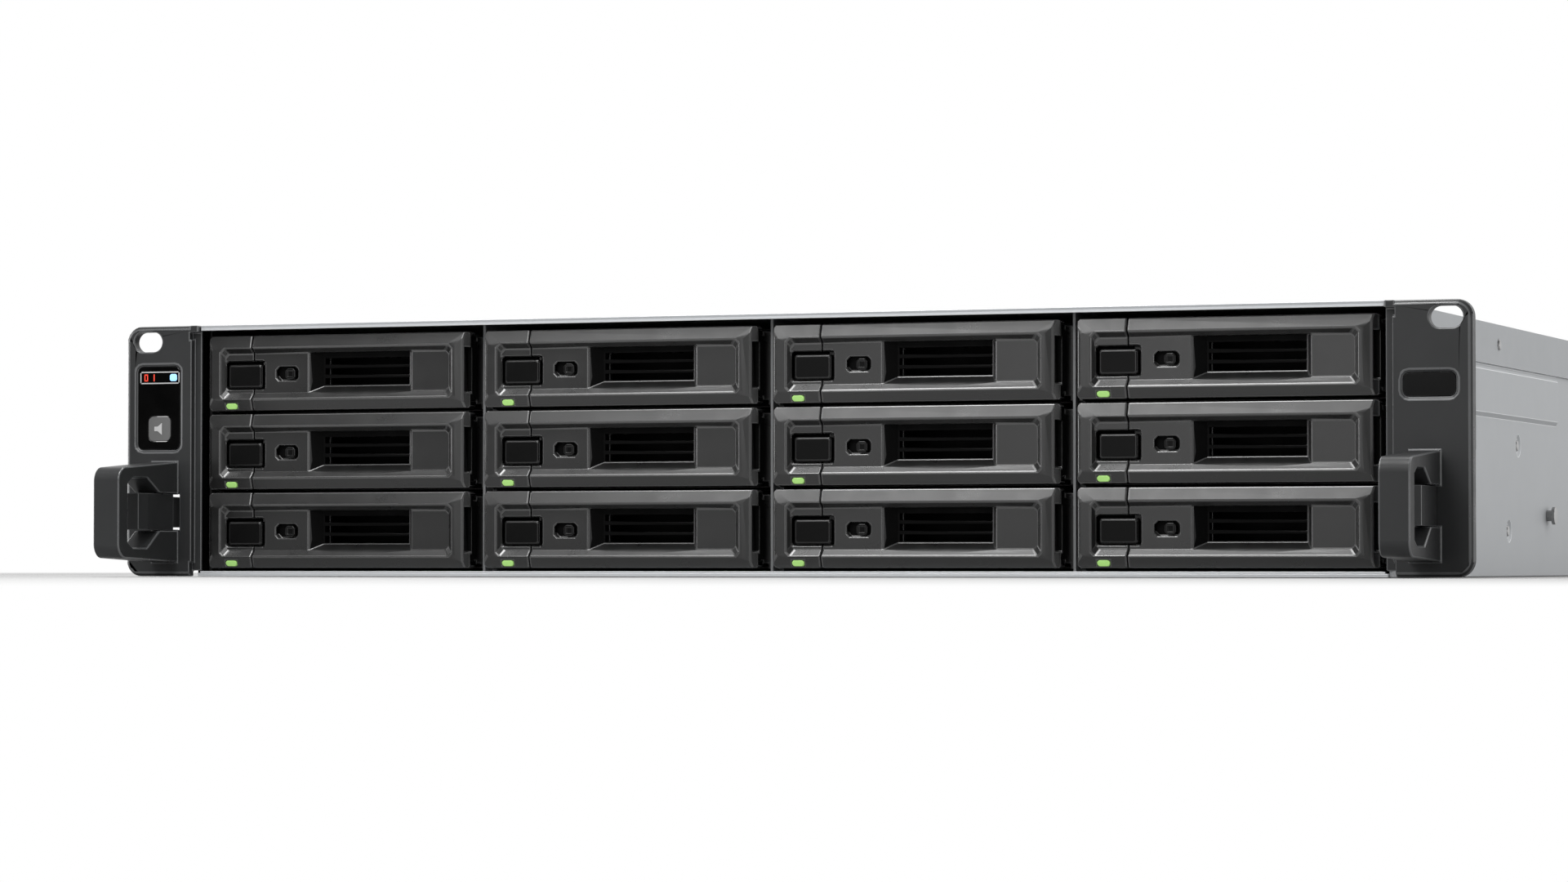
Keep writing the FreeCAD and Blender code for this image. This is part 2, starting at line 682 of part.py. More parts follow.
def vent_pocket():
    """The deeper part of the recess between the block and the pad, and its slots."""
    high = BEZEL_HEIGHT - TOP_FACET - WALL_RUN_TOP
    low = BOTTOM_FACET + WALL_RUN_BOTTOM
    near = [(VENT_SLOPE_LEFT, low), (PAD_LEFT, low), (PAD_LEFT, high), (VENT_SLOPE_LEFT, high)]
    floor_left = VENT_LEFT - VENT_RIM
    floor_right = VENT_RIGHT + VENT_RIM
    floor_low = VENT_FLOOR_Z - VENT_RIM / 2
    far = [(floor_left, floor_low), (floor_right, floor_low), (floor_right, high), (floor_left, high)]
    pocket = funnel(near, RECESS_DEPTH, far, VENT_DEPTH)
    pitch = (VENT_TOP_Z - VENT_FLOOR_Z + VENT_BAR) / VENT_SLOTS
    for index in range(VENT_SLOTS):
        low_z = VENT_FLOOR_Z + index * pitch
        slot = block((VENT_LEFT, VENT_RIGHT), (VENT_DEPTH - OVER, BEZEL_DEPTH + OVER),
                     (low_z, low_z + pitch - VENT_BAR))
        pocket = pocket.fuse(slot)
    return pocket


def button_pocket():
    """The pocket of the release button, with a chamfered rim, through the seam."""
    x = (BUTTON_X - POCKET_LEFT_GAP, BUTTON_X + BUTTON_WIDTH + POCKET_RIGHT_GAP)
    z = (BUTTON_Z - POCKET_BOTTOM_GAP, BUTTON_Z + BUTTON_HEIGHT + POCKET_TOP_GAP)
    grow = POCKET_CHAMFER
    rim_corner = POCKET_CORNER + grow * (2 - math.sqrt(2))
    rim = cut_corners((x[0] - grow, x[1] + grow), (z[0] - grow, z[1] + grow), rim_corner)
    throat = cut_corners(x, z, POCKET_CORNER)
    mouth = funnel(rim, RECESS_DEPTH, throat, RECESS_DEPTH + grow)
    depth = RECESS_DEPTH + BUTTON_THICKNESS + BUTTON_TRAVEL + SEAT_GAP
    return mouth.fuse(prism_y(throat, (RECESS_DEPTH + grow, depth)))


def stem_bore():
    """The guide hole of the release button's stem, through the block and the carrier wall."""
    half_width = STEM_WIDTH / 2 + STEM_GAP
    half_height = STEM_HEIGHT / 2 + STEM_GAP
    return block((STEM_X - half_width, STEM_X + half_width), (RECESS_DEPTH, FRONT_BLOCK_DEPTH + OVER),
                 (STEM_Z - half_height, STEM_Z + half_height))


def front_block():
    """The fixed left end of the tray front, which guides the release button."""
    keep = block((-OVER, GAP_LEFT), (-OVER, FRONT_BLOCK_DEPTH), (-OVER, BEZEL_HEIGHT + OVER))
    body = bezel_blank(FRONT_BLOCK_DEPTH).common(keep)
    lens_seat = block((LED_X, LED_X + LED_WIDTH), (-OVER, FACET_SLOPE + LED_SEAT),
                      (LED_Z, LED_Z + LED_HEIGHT))
    return body.cut(recess()).cut(button_pocket()).cut(lens_seat)


def light_pipe():
    """The lozenge lens of the drive lamp, flush with the bottom facet."""
    outline = cut_corners((LED_X, LED_X + LED_WIDTH), (LED_Z, LED_Z + LED_HEIGHT), LED_CORNER)
    lens = prism_y(outline, (-OVER, FACET_SLOPE + LED_SEAT))
    slope = FACET_SLOPE / BOTTOM_FACET
    front = [(FACET_SLOPE - LED_PROUD, 0), (FACET_SLOPE - slope * BOTTOM_FACET - LED_PROUD, BOTTOM_FACET),
             (FACET_SLOPE + LED_SEAT, BOTTOM_FACET), (FACET_SLOPE + LED_SEAT, 0)]
    return lens.common(prism_x(front, (0, SEAM_X)))


def release_button():
    """The push button across the seam, with a stem that slides in the front block."""
    front = RECESS_DEPTH - BUTTON_PROUD
    back = front + BUTTON_THICKNESS
    x = (BUTTON_X, BUTTON_X + BUTTON_WIDTH)
    z = (BUTTON_Z, BUTTON_Z + BUTTON_HEIGHT)
    edge = BUTTON_EDGE
    face = cut_corners((x[0] + edge, x[1] - edge), (z[0] + edge, z[1] - edge), edge)
    body = cut_corners(x, z, edge)
    crown = funnel(face, front, body, front + edge)
    cap = prism_y(body, (front + edge, back))
    stem = block((STEM_X - STEM_WIDTH / 2, STEM_X + STEM_WIDTH / 2), (back, back + STEM_LENGTH),
                 (STEM_Z - STEM_HEIGHT / 2, STEM_Z + STEM_HEIGHT / 2))
    return union([crown, cap, stem])


def swing_handle():
    """The handle: the rest of the tray front, clipped over the hinge pin at its right end."""
    keep = block((GAP_RIGHT, BEZEL_WIDTH + OVER), (-OVER, BEZEL_DEPTH + OVER), (-OVER, BEZEL_HEIGHT + OVER))
    body = bezel_blank(BEZEL_DEPTH).common(keep)
    notch = block((SEAM_X - OVER, BUTTON_X + BUTTON_WIDTH + POCKET_RIGHT_GAP),
                  (RECESS_DEPTH, BEZEL_DEPTH + OVER),
                  (BUTTON_Z - POCKET_BOTTOM_GAP, BUTTON_Z + BUTTON_HEIGHT + POCKET_TOP_GAP))
    window = cut_corners((LOCK_WINDOW_X, LOCK_WINDOW_X + LOCK_WINDOW_WIDTH),
                         (LOCK_WINDOW_Z, LOCK_WINDOW_Z + LOCK_WINDOW_HEIGHT), LOCK_WINDOW_CORNER)
    window_cut = prism_y(window, (RECESS_DEPTH - OVER, RECESS_DEPTH + LOCK_WINDOW_DEPTH))
    body = body.cut(recess()).cut(vent_pocket()).cut(button_pocket()).cut(notch).cut(window_cut)
    lug_x = (HINGE_X - BARREL_R - LUG_GAP, BEZEL_WIDTH + OVER)
    lug_y = (HINGE_DEPTH - BARREL_R - LUG_GAP, BEZEL_DEPTH + OVER)
    for z in ((LUG_Z - LUG_GAP, HINGE_LOW + LUG_GAP / 2),
              (HINGE_HIGH - LUG_GAP / 2, BEZEL_HEIGHT - LUG_Z + LUG_GAP)):
        body = body.cut(block(lug_x, lug_y, z))
    slot_z = (BEZEL_HEIGHT - NOTCH_HEIGHT) / 2
    notch_right = BEZEL_WIDTH - NOTCH_RIM
    end_notch = block((notch_right - NOTCH_WIDTH, notch_right), (-OVER, NOTCH_DEPTH),
                      (slot_z, slot_z + NOTCH_HEIGHT))
    hollow = block((HINGE_X + BARREL_R, BEZEL_WIDTH + OVER), (HINGE_DEPTH + HINGE_PIN_R, BEZEL_DEPTH + OVER),
                   (0, BEZEL_HEIGHT))
    clip = HINGE_PIN_R + HINGE_FIT
    clip_slot = block((HINGE_X - clip, HINGE_X + clip), (HINGE_DEPTH - clip, BEZEL_DEPTH + OVER),
                      (HINGE_LOW - OVER, HINGE_HIGH + OVER))
    return body.cut(end_notch).cut(hollow).cut(clip_slot)


def lock_slider():
    """The lock key: a small square slide with a dished middle."""
    x = LOCK_WINDOW_X + LOCK_WINDOW_WIDTH - LOCK_SIZE - LOCK_STOP
    z = LOCK_WINDOW_Z + (LOCK_WINDOW_HEIGHT - LOCK_SIZE) / 2
    y = (RECESS_DEPTH + LOCK_PROUD, RECESS_DEPTH + LOCK_WINDOW_DEPTH)
    key = prism_y(cut_corners((x, x + LOCK_SIZE), (z, z + LOCK_SIZE), LOCK_RING), y)
    dish = block((x + LOCK_RING, x + LOCK_SIZE - LOCK_RING), (y[0] - OVER, y[0] + LOCK_DISH),
                 (z + LOCK_RING, z + LOCK_SIZE - LOCK_RING))
    return key.cut(dish)


def hinge_lug(z):
    """A flat lug that reaches from the carrier to the hinge pin."""
    side = BARREL_R * math.tan(math.pi / 8)
    root = CARRIER_FRONT + OVER
    outline = [(HINGE_X - BARREL_R, root), (HINGE_X - BARREL_R, HINGE_DEPTH - side),
               (HINGE_X - side, HINGE_DEPTH - BARREL_R), (HINGE_X + side, HINGE_DEPTH - BARREL_R),
               (HINGE_X + BARREL_R, HINGE_DEPTH - side), (HINGE_X + BARREL_R, root)]
    return prism_z(outline, z)


def carrier():
    """The tray frame: vented front wall, two rails, floor strips and the hinge lugs."""
    left = -CARRIER_OVERHANG
    right = BEZEL_WIDTH + CARRIER_OVERHANG
    rail_z = (-DRIVE_LIFT / 2, RAIL_HEIGHT)
    wall_y = (CARRIER_FRONT, CARRIER_FRONT + CARRIER_FRONT_SHEET)
    wall = block((left, right), wall_y, (RAIL_DROP, RAIL_HEIGHT))
    rail_y = (CARRIER_FRONT, CARRIER_BACK)
    rails = [block((left, left + CARRIER_SHEET), rail_y, rail_z),
             block((right - CARRIER_SHEET, right), rail_y, rail_z)]
    first_strip = DRIVE_START + STRIP_INSET
    last_strip = DRIVE_START + DRIVE_LENGTH - STRIP_INSET - STRIP_WIDTH
    strips = [block((left, right), (start, start + STRIP_WIDTH), (-DRIVE_LIFT / 2, DRIVE_LIFT))
              for start in (first_strip, last_strip)]
    lugs = [hinge_lug((LUG_Z, HINGE_LOW)), hinge_lug((HINGE_HIGH, BEZEL_HEIGHT - LUG_Z))]
    frame = union([wall, front_block()] + rails + strips + lugs)
    vent = block((VENT_LEFT, VENT_RIGHT), (wall_y[0] - OVER, wall_y[1] + OVER), (VENT_FLOOR_Z, VENT_TOP_Z))
    return frame.cut(vent).cut(stem_bore())


def hinge_pin():
    """The pin that stands between the two lugs."""
    return prism_z(pin_outline(HINGE_X, HINGE_DEPTH, HINGE_PIN_R), (HINGE_LOW, HINGE_HIGH))


def disk_drive():
    """A 3.5-inch drive: cast body with a raised lid and a connector notch at its back."""
    left = (BEZEL_WIDTH - DRIVE_WIDTH) / 2
    x = (left, left + DRIVE_WIDTH)
    y = (DRIVE_START, DRIVE_START + DRIVE_LENGTH)
    z = (DRIVE_LIFT, DRIVE_LIFT + DRIVE_HEIGHT - DRIVE_LID)
    body = block(x, y, z)
    lid_x = (x[0] + LID_MARGIN, x[1] - LID_MARGIN)
    lid_y = (y[0] + LID_MARGIN, y[1] - LID_TAIL)
    corner = LID_CORNER
    outline = [(lid_x[0], lid_y[0] + corner), (lid_x[0] + corner, lid_y[0]), (lid_x[1] - corner, lid_y[0]),
               (lid_x[1], lid_y[0] + corner), (lid_x[1], lid_y[1] - corner), (lid_x[1] - corner, lid_y[1]),
               (lid_x[0] + corner, lid_y[1]), (lid_x[0], lid_y[1] - corner)]
    lid = prism_z(outline, (z[1], z[1] + DRIVE_LID))
    notch_x = (x[0] + DRIVE_NOTCH_INSET, x[0] + DRIVE_NOTCH_INSET + CONNECTOR_WIDTH)
    notch = block(notch_x, (y[1] - DRIVE_NOTCH_DEPTH, y[1] + OVER), (z[0] - OVER, z[0] + DRIVE_NOTCH_HEIGHT))
    return union([body, lid]).cut(notch)


def place_in_bay(shape, column, row):
    """Move a piece drawn in tray coordinates to its bay."""
    placed = shape.copy()
    x = column_centre(column) - BEZEL_WIDTH / 2
    placed.translate(Vector(x, BEZEL_SETBACK, row_bottom(row)))
    return placed


def save_trays():
    """Twelve trays, each with its handle and its release button."""
    tray = group([carrier(), light_pipe(), hinge_pin(), disk_drive()])
    handle = group([swing_handle(), lock_slider()])
    button = release_button()
    for row in range(ROWS):
        for column in range(COLUMNS):
            number = "%02d" % (row * COLUMNS + column + 1)
            save("tray_" + number, place_in_bay(tray, column, row))
            save("tray_handle_" + number, place_in_bay(handle, column, row))
            save("release_button_" + number, place_in_bay(button, column, row))


# ---------------------------------------------------------------- rack ears (drawn for the right)
def ear_plate():
    """The ear: thick outer plate, thin recessed inner strip, top tab and side flange."""
    plate = block((EAR_STEP, HALF_PANEL), (0, EAR_THICKNESS), (0, PANEL_HEIGHT))
    outer = [edge for edge in plate.Edges
             if is_along(edge, Vector(0, 1, 0)) and edge.CenterOfMass.x > HALF_PANEL - EAR_EDGE]
    plate = plate.makeFillet(EAR_CORNER, outer)
    rim = [edge for edge in plate.Edges
           if is_along(edge, Vector(0, 0, 1)) and edge.CenterOfMass.x > HALF_PANEL - EAR_EDGE
           and edge.CenterOfMass.y < EAR_EDGE]
    plate = plate.makeChamfer(EAR_EDGE, rim)
    strip = block((EAR_INNER, EAR_STEP), (EAR_STRIP_SETBACK, EAR_THICKNESS),
                  (HEM_HEIGHT + SEAT_GAP, PANEL_HEIGHT - EAR_TAB))
    tab = block((EAR_INNER, EAR_STEP), (0, EAR_THICKNESS), (PANEL_HEIGHT - EAR_TAB, PANEL_HEIGHT))
    flange = block((HALF_CHASSIS, HALF_CHASSIS + EAR_FLANGE_SHEET), (0, EAR_FLANGE_LENGTH),
                   (EAR_FLANGE_MARGIN, PANEL_HEIGHT - EAR_FLANGE_MARGIN))
    relief_depth = (EAR_THICKNESS - EAR_RELIEF, EAR_THICKNESS + OVER)
    inner_relief = block((EAR_INNER - OVER, HALF_CHASSIS + EAR_FLANGE_SHEET), relief_depth,
                         (-OVER, PANEL_HEIGHT + OVER))
    hook_relief = block((HALF_CHASSIS, HALF_PANEL + OVER), relief_depth, (-OVER, GRIP_TOP))
    front = union([plate, strip, tab]).cut(inner_relief).cut(hook_relief)
    return union([front, flange]).cut(rack_slot()).cut(hook_hole())


def rack_slot():
    """The round-ended slot for the rack screw."""
    radius = SLOT_WIDTH / 2
    half = SLOT_LENGTH / 2 - radius
    y = (-OVER, EAR_THICKNESS + OVER)
    middle = block((SLOT_X - half, SLOT_X + half), y, (SLOT_Z - radius, SLOT_Z + radius))
    ends = [rod(SLOT_X + side * half, y[0], SLOT_Z, radius, y[1] - y[0], (0, 1, 0)) for side in (-1, 1)]
    return union([middle] + ends)


def hook_hole():
    """The window in the ear behind the latch."""
    return block((GRIP_INNER - HOOK_HOLE_MARGIN, GRIP_OUTER - HOOK_HOLE_EDGE), (-OVER, EAR_THICKNESS + OVER),
                 (WINDOW_LOW + HOOK_HOLE_TRIM, WINDOW_HIGH - HOOK_HOLE_TRIM))


def grip_outline():
    """The side view of the grip, as a face in the YZ plane."""
    top_front = GRIP_TOP - GRIP_TAPER_TOP
    bottom_front = GRIP_BOTTOM + GRIP_TAPER_BOTTOM
    corner = GRIP_CORNER
    bend = corner * (1 - math.sqrt(0.5))
    front = -GRIP_REACH

    def at(y, z):
        return Vector(GRIP_INNER, y, z)

    edges = [
        Part.makeLine(at(0, GRIP_TOP), at(front + corner, top_front)),
        Part.Arc(at(front + corner, top_front), at(front + bend, top_front - bend),
                 at(front, top_front - corner)).toShape(),
        Part.makeLine(at(front, top_front - corner), at(front, bottom_front + corner)),
        Part.Arc(at(front, bottom_front + corner), at(front + bend, bottom_front + bend),
                 at(front + corner, bottom_front)).toShape(),
        Part.makeLine(at(front + corner, bottom_front), at(0, GRIP_BOTTOM)),
        Part.makeLine(at(0, GRIP_BOTTOM), at(0, GRIP_TOP)),
    ]
    return Part.Face(Part.Wire(edges))


def grip_window():
    """The six-sided finger window, open to the ear between the two feet."""
    inner = -GRIP_REACH + GRIP_BAR
    shoulder = inner + GRIP_SHOULDER
    arm_high = GRIP_TOP - GRIP_TAPER_TOP - GRIP_ARM
    arm_low = GRIP_BOTTOM + GRIP_TAPER_BOTTOM + GRIP_ARM
    knee = -GRIP_FOOT_DEPTH
    outline = [(inner, arm_low + GRIP_DROOP), (shoulder, arm_low), (knee - GRIP_SLANT, arm_low),
               (knee, WINDOW_LOW), (1, WINDOW_LOW), (1, WINDOW_HIGH), (knee, WINDOW_HIGH),
               (knee - GRIP_SLANT, arm_high), (shoulder, arm_high), (inner, arm_high - GRIP_DROOP)]
    return prism_x(outline, (GRIP_INNER - OVER, GRIP_OUTER + OVER))


def grip():
    """The pull grip on the ear, with square sockets for the latch pin in its feet."""
    body = grip_outline().extrude(Vector(GRIP_WIDTH, 0, 0)).cut(grip_window())
    middle = (GRIP_INNER + GRIP_OUTER) / 2
    half = LATCH_PIN_R + LATCH_PIN_FIT
    reach = LATCH_PIN_LENGTH + LATCH_GAP
    x = (middle - half, middle + half)
    y = (LATCH_PIVOT_Y - half, LATCH_PIVOT_Y + half)
    for z in ((WINDOW_LOW - reach, WINDOW_LOW + OVER), (WINDOW_HIGH - OVER, WINDOW_HIGH + reach)):
        body = body.cut(block(x, y, z))
    return body


def latch():
    """The release latch in the grip: thumb block, pin ends and a hook behind the ear."""
    x = (GRIP_INNER + LATCH_SIDE_GAP, GRIP_OUTER - LATCH_SIDE_GAP)
    z = (WINDOW_LOW + LATCH_GAP, WINDOW_HIGH - LATCH_GAP)
    chamfer = LATCH_CHAMFER
    plan = [(x[0], -LATCH_BACK), (x[0], -LATCH_LENGTH + 2 * chamfer), (x[0] + chamfer / 2, -LATCH_LENGTH),
            (x[1] - chamfer, -LATCH_LENGTH), (x[1], -LATCH_LENGTH + chamfer), (x[1], -LATCH_BACK)]
    body = prism_z(plan, z)
    left = x[0] + LATCH_HOOK_INSET
    right = left + LATCH_HOOK_WIDTH
    hook_plan = [(left, -LATCH_BACK - OVER), (right, -LATCH_BACK - OVER),
                 (right, LATCH_HOOK_REACH - LATCH_TOOTH_LENGTH),
                 (right + LATCH_HOOK_TOOTH, LATCH_HOOK_REACH - LATCH_TOOTH_LENGTH),
                 (right, LATCH_HOOK_REACH), (left, LATCH_HOOK_REACH)]
    hook = prism_z(hook_plan, (z[0] + LATCH_HOOK_TRIM, z[1] - LATCH_HOOK_TRIM))
    middle = (GRIP_INNER + GRIP_OUTER) / 2
    pin = prism_z(pin_outline(middle, LATCH_PIVOT_Y, LATCH_PIN_R),
                  (z[0] - LATCH_PIN_LENGTH, z[1] + LATCH_PIN_LENGTH))
    return union([body, hook, pin])


def inlay_span(x, z, width, height, grow):
    """The (x, z) spans of an inlay centred on a point, grown all round."""
    return ((x - width / 2 - grow, x + width / 2 + grow), (z - height / 2 - grow, z + height / 2 + grow))


def inlay(x, z, width, height):
    """A thin plate sunk into an ear."""
    span_x, span_z = inlay_span(x, z, width, height, 0)
    return prism_y(rounded_outline(span_x, span_z, INLAY_CORNER), (INLAY_SUNK, INLAY_SUNK + INLAY_THICKNESS))


def inlay_seat(x, z, width, height):
    """The pocket that an inlay is pressed into, with a sloped rim down to it."""
    span_x, span_z = inlay_span(x, z, width, height, INLAY_GAP)
    throat = rounded_outline(span_x, span_z, INLAY_CORNER + INLAY_GAP)
    rim_x, rim_z = inlay_span(x, z, width, height, INLAY_GAP + INLAY_RIM)
    mouth = rounded_outline(rim_x, rim_z, INLAY_CORNER + INLAY_GAP + INLAY_RIM)
    pocket = prism_y(throat, (INLAY_SUNK, INLAY_SUNK + INLAY_THICKNESS))
    return pocket.fuse(funnel(mouth, 0, throat, INLAY_SUNK))


def mute_span(grow):
    """The (x, z) spans of the mute button, grown all round."""
    return inlay_span(-MUTE_X, MUTE_Z, MUTE_SIZE, MUTE_SIZE, grow)


def mute_hole():
    """The square hole of the mute button, through the window and the left ear."""
    span_x, span_z = mute_span(MUTE_GAP)
    return prism_y(rounded_outline(span_x, span_z, MUTE_CORNER + MUTE_GAP), (-OVER, EAR_THICKNESS + OVER))


def mute_button():
    """The square push button in the control window."""
    span_x, span_z = mute_span(0)
    front = INLAY_SUNK - MUTE_PROUD
    cap = prism_y(rounded_outline(span_x, span_z, MUTE_CORNER), (front, front + MUTE_CAP))
    foot_x, foot_z = inlay_span(-MUTE_X, MUTE_Z, MUTE_FOOT, MUTE_FOOT, 0)
    foot = block(foot_x, (front + MUTE_CAP, EAR_THICKNESS - MUTE_STOP), foot_z)
    return union([cap, foot])


def save_ears():
    """Both ears with their grips, latches and inlays."""
    plain_ear = union([ear_plate(), grip()])
    window_size = (-WINDOW_X, WINDOW_Z, WINDOW_WIDTH, WINDOW_HEIGHT)
    plate_size = (PLATE_X, PLATE_Z, PLATE_WIDTH, PLATE_HEIGHT)
    save("ear_left", mirrored(plain_ear).cut(inlay_seat(*window_size)).cut(mute_hole()))
    save("ear_right", plain_ear.cut(inlay_seat(*plate_size)))
    save("ear_latch_left", mirrored(latch()))
    save("ear_latch_right", latch())
    save("control_window", group([inlay(*window_size).cut(mute_hole()), inlay(*plate_size)]))
    save("mute_button", mute_button())


# ---------------------------------------------------------------- fans
def duct(x, z, y):
    """The many-sided air duct of a fan."""
    return prism_y(ring_outline(x, z, FAN_RING_R, DUCT_SIDES), y)


def fan_frame(x, z):
    """A square fan frame with a duct and a motor mount on struts at its back."""
    half = FAN_SIZE / 2
    y = (FAN_FRONT, FAN_FRONT + FAN_DEPTH)
    frame = block((x - half, x + half), y, (z - half, z + half))
    frame = frame.cut(duct(x, z, (y[0] - OVER, y[1] + OVER)))
    mount_y = (y[1] - FAN_STRUT_DEPTH, y[1])
    mount = prism_y(ring_outline(x, z, FAN_HUB_R, HUB_SIDES), mount_y)
    struts = []
    for index in range(FAN_STRUTS):
        strut = block((x, x + FAN_RING_R + OVER), mount_y, (z - FAN_STRUT_WIDTH / 2, z + FAN_STRUT_WIDTH / 2))
        strut.rotate(Vector(x, 0, z), Vector(0, 1, 0), 360 / FAN_STRUTS * (index + 0.5))
        struts.append(strut)
    shaft = prism_y(pin_outline(x, z, FAN_SHAFT_R), (mount_y[0] - FAN_SHAFT_LENGTH, mount_y[0] + OVER))
    return union([frame, mount, shaft] + struts)


def fan_rotor(x, z):
    """The hub and slanted blades of one fan."""
    front = FAN_FRONT + FAN_HUB_SETBACK
    back = FAN_FRONT + FAN_DEPTH - FAN_STRUT_DEPTH - FAN_HUB_GAP
    hub = prism_y(ring_outline(x, z, FAN_HUB_R, HUB_SIDES), (front, back))
    bore = prism_y(ring_outline(x, z, FAN_SHAFT_R + FAN_SHAFT_FIT, PIN_SIDES),
                   (back - FAN_SHAFT_LENGTH, back + OVER))
    blades = []
    for index in range(FAN_BLADES):
        blade = fan_blade(x, z, (front + back) / 2)
        blade.rotate(Vector(x, 0, z), Vector(0, 1, 0), 360 / FAN_BLADES * index)
        blades.append(blade)
    return union([hub] + blades).cut(bore)


def fan_blade(x, z, middle):
    """One blade: a slanted bar from inside the hub to just short of the duct."""
    sweep = FAN_BLADE_SWEEP
    rise = FAN_BLADE_RISE
    skin = FAN_BLADE_SKIN
    root = FAN_HUB_R - 2
    tip = math.sqrt((FAN_RING_R - FAN_TIP_GAP) ** 2 - sweep ** 2)
    section = [(x - sweep, middle - rise - skin), (x - sweep, middle - rise + skin),
               (x + sweep, middle + rise + skin), (x + sweep, middle + rise - skin)]
    return prism_z(section, (z + root, z + tip))


def fan_wall(z):
    """The sheet that holds the four fans, with an opening for each."""
    y = (FAN_FRONT - FAN_WALL_SHEET, FAN_FRONT)
    wall = block((-WALL_INNER + SEAT_GAP, WALL_INNER - SEAT_GAP), y, (BASE_SHEET, WALL_TOP))
    for column in range(COLUMNS):
        wall = wall.cut(duct(column_centre(column), z, (y[0] - OVER, y[1] + OVER)))
    return wall


def save_fans():
    """The fan wall, four frames and four rotors."""
    z = (BASE_SHEET + WALL_TOP) / 2
    frames = [fan_frame(column_centre(column), z) for column in range(COLUMNS)]
    save("fan_wall", group([fan_wall(z)] + frames))
    for column in range(COLUMNS):
        save("fan_rotor_%d" % (column + 1), fan_rotor(column_centre(column), z))


# ---------------------------------------------------------------- rear modules
def module_span(level):
    """The (low, high) Z span of a rear module; level 0 is the lower one."""
    low = MODULE_FLOOR + level * MODULE_PITCH
    return (low, low + MODULE_HEIGHT)


def vent_field(x, z):
    """A row of upright vent slots that fits the spans."""
    count = int((x[1] - x[0] - VENT_SLOT) // VENT_PITCH) + 1
    starts = [x[0] + index * VENT_PITCH for index in range(count)]
    y = (CHASSIS_DEPTH - MODULE_SHEET - OVER, CHASSIS_DEPTH + OVER)
    return [block((start, start + VENT_SLOT), y, z) for start in starts]


def module_can(x, length, z):
    """A closed sheet-metal can, open inside."""
    y = (CHASSIS_DEPTH - length, CHASSIS_DEPTH)
    can = block(x, y, z)
    inset = MODULE_SHEET
    return can.cut(block((x[0] + inset, x[1] - inset), (y[0] + inset, y[1] - inset),
                         (z[0] + inset, z[1] - inset)))


def mains_inlet(x, z_mid):
    """The shroud of a mains inlet and the mouth cut into it; x is the mouth's span."""
    z = (z_mid - INLET_HEIGHT / 2, z_mid + INLET_HEIGHT / 2)
    rear = CHASSIS_DEPTH
    shroud = block((x[0] - INLET_WALL, x[1] + INLET_WALL), (rear - INLET_DEPTH - INLET_WALL, rear),
                   (z[0] - INLET_WALL, z[1] + INLET_WALL))
    mouth = prism_y(cut_corners(x, z, INLET_CORNER), (rear - INLET_DEPTH, rear + OVER))
    return shroud, mouth


def inlet_pins(x_mid, z_mid):
    """The three flat pins in a mains inlet, the middle one raised."""
    y = (CHASSIS_DEPTH - INLET_DEPTH - OVER, CHASSIS_DEPTH - INLET_PIN_SETBACK)
    pins = []
    for offset, lift in ((-INLET_PIN_SPREAD, 0), (0, INLET_PIN_LIFT), (INLET_PIN_SPREAD, 0)):
        middle = z_mid + lift - INLET_PIN_LIFT / 2
        pins.append(block((x_mid + offset - INLET_PIN / 2, x_mid + offset + INLET_PIN / 2), y,
                          (middle - INLET_PIN_HEIGHT / 2, middle + INLET_PIN_HEIGHT / 2)))
    return pins


def pull_handle(x, z):
    """The fixed handle bar of a power supply, on two arms."""
    reach = CHASSIS_DEPTH + PSU_HANDLE_REACH
    bar = block(x, (reach - PSU_HANDLE_BAR, reach), z)
    arm_y = (CHASSIS_DEPTH - MODULE_SHEET / 2, reach)
    arms = [block(x, arm_y, span) for span in ((z[0], z[0] + PSU_HANDLE_BAR), (z[1] - PSU_HANDLE_BAR, z[1]))]
    return [bar] + arms


def power_supply(level):
    """A hot-swap supply: can, mains inlet, exhaust vents and a fixed pull handle."""
    z = module_span(level)
    z_mid = (z[0] + z[1]) / 2
    inlet_right = PSU_RIGHT - INLET_INSET
    inlet_x = (inlet_right - INLET_WIDTH, inlet_right)
    shroud, mouth = mains_inlet(inlet_x, z_mid)
    handle_x = (PSU_LEFT + PSU_HANDLE_INSET, PSU_LEFT + PSU_HANDLE_INSET + PSU_HANDLE_BAR)
    handle = pull_handle(handle_x, (z[0] + PSU_HANDLE_END, z[1] - PSU_HANDLE_END))
    body = union([module_can((PSU_LEFT, PSU_RIGHT), PSU_LENGTH, z), shroud] + handle).cut(mouth)
    body = union([body] + inlet_pins((inlet_x[0] + inlet_x[1]) / 2, z_mid))
    tab_left = PSU_LEFT + PSU_TAB_INSET
    half = PSU_TAB_HEIGHT / 2 + PSU_TAB_GAP
    tab_slot = block((tab_left, tab_left + PSU_TAB_WIDTH + 2 * PSU_TAB_GAP + PSU_TAB_TRAVEL),
                     (CHASSIS_DEPTH - MODULE_SHEET - OVER, CHASSIS_DEPTH + OVER),
                     (z_mid - half, z_mid + half))
    vent_x = (handle_x[1] + REAR_VENT_MARGIN, inlet_x[0] - INLET_WALL - REAR_VENT_MARGIN)
    for slot in vent_field(vent_x, (z[0] + REAR_VENT_MARGIN, z[1] - REAR_VENT_MARGIN)):
        body = body.cut(slot)
    return body.cut(tab_slot)


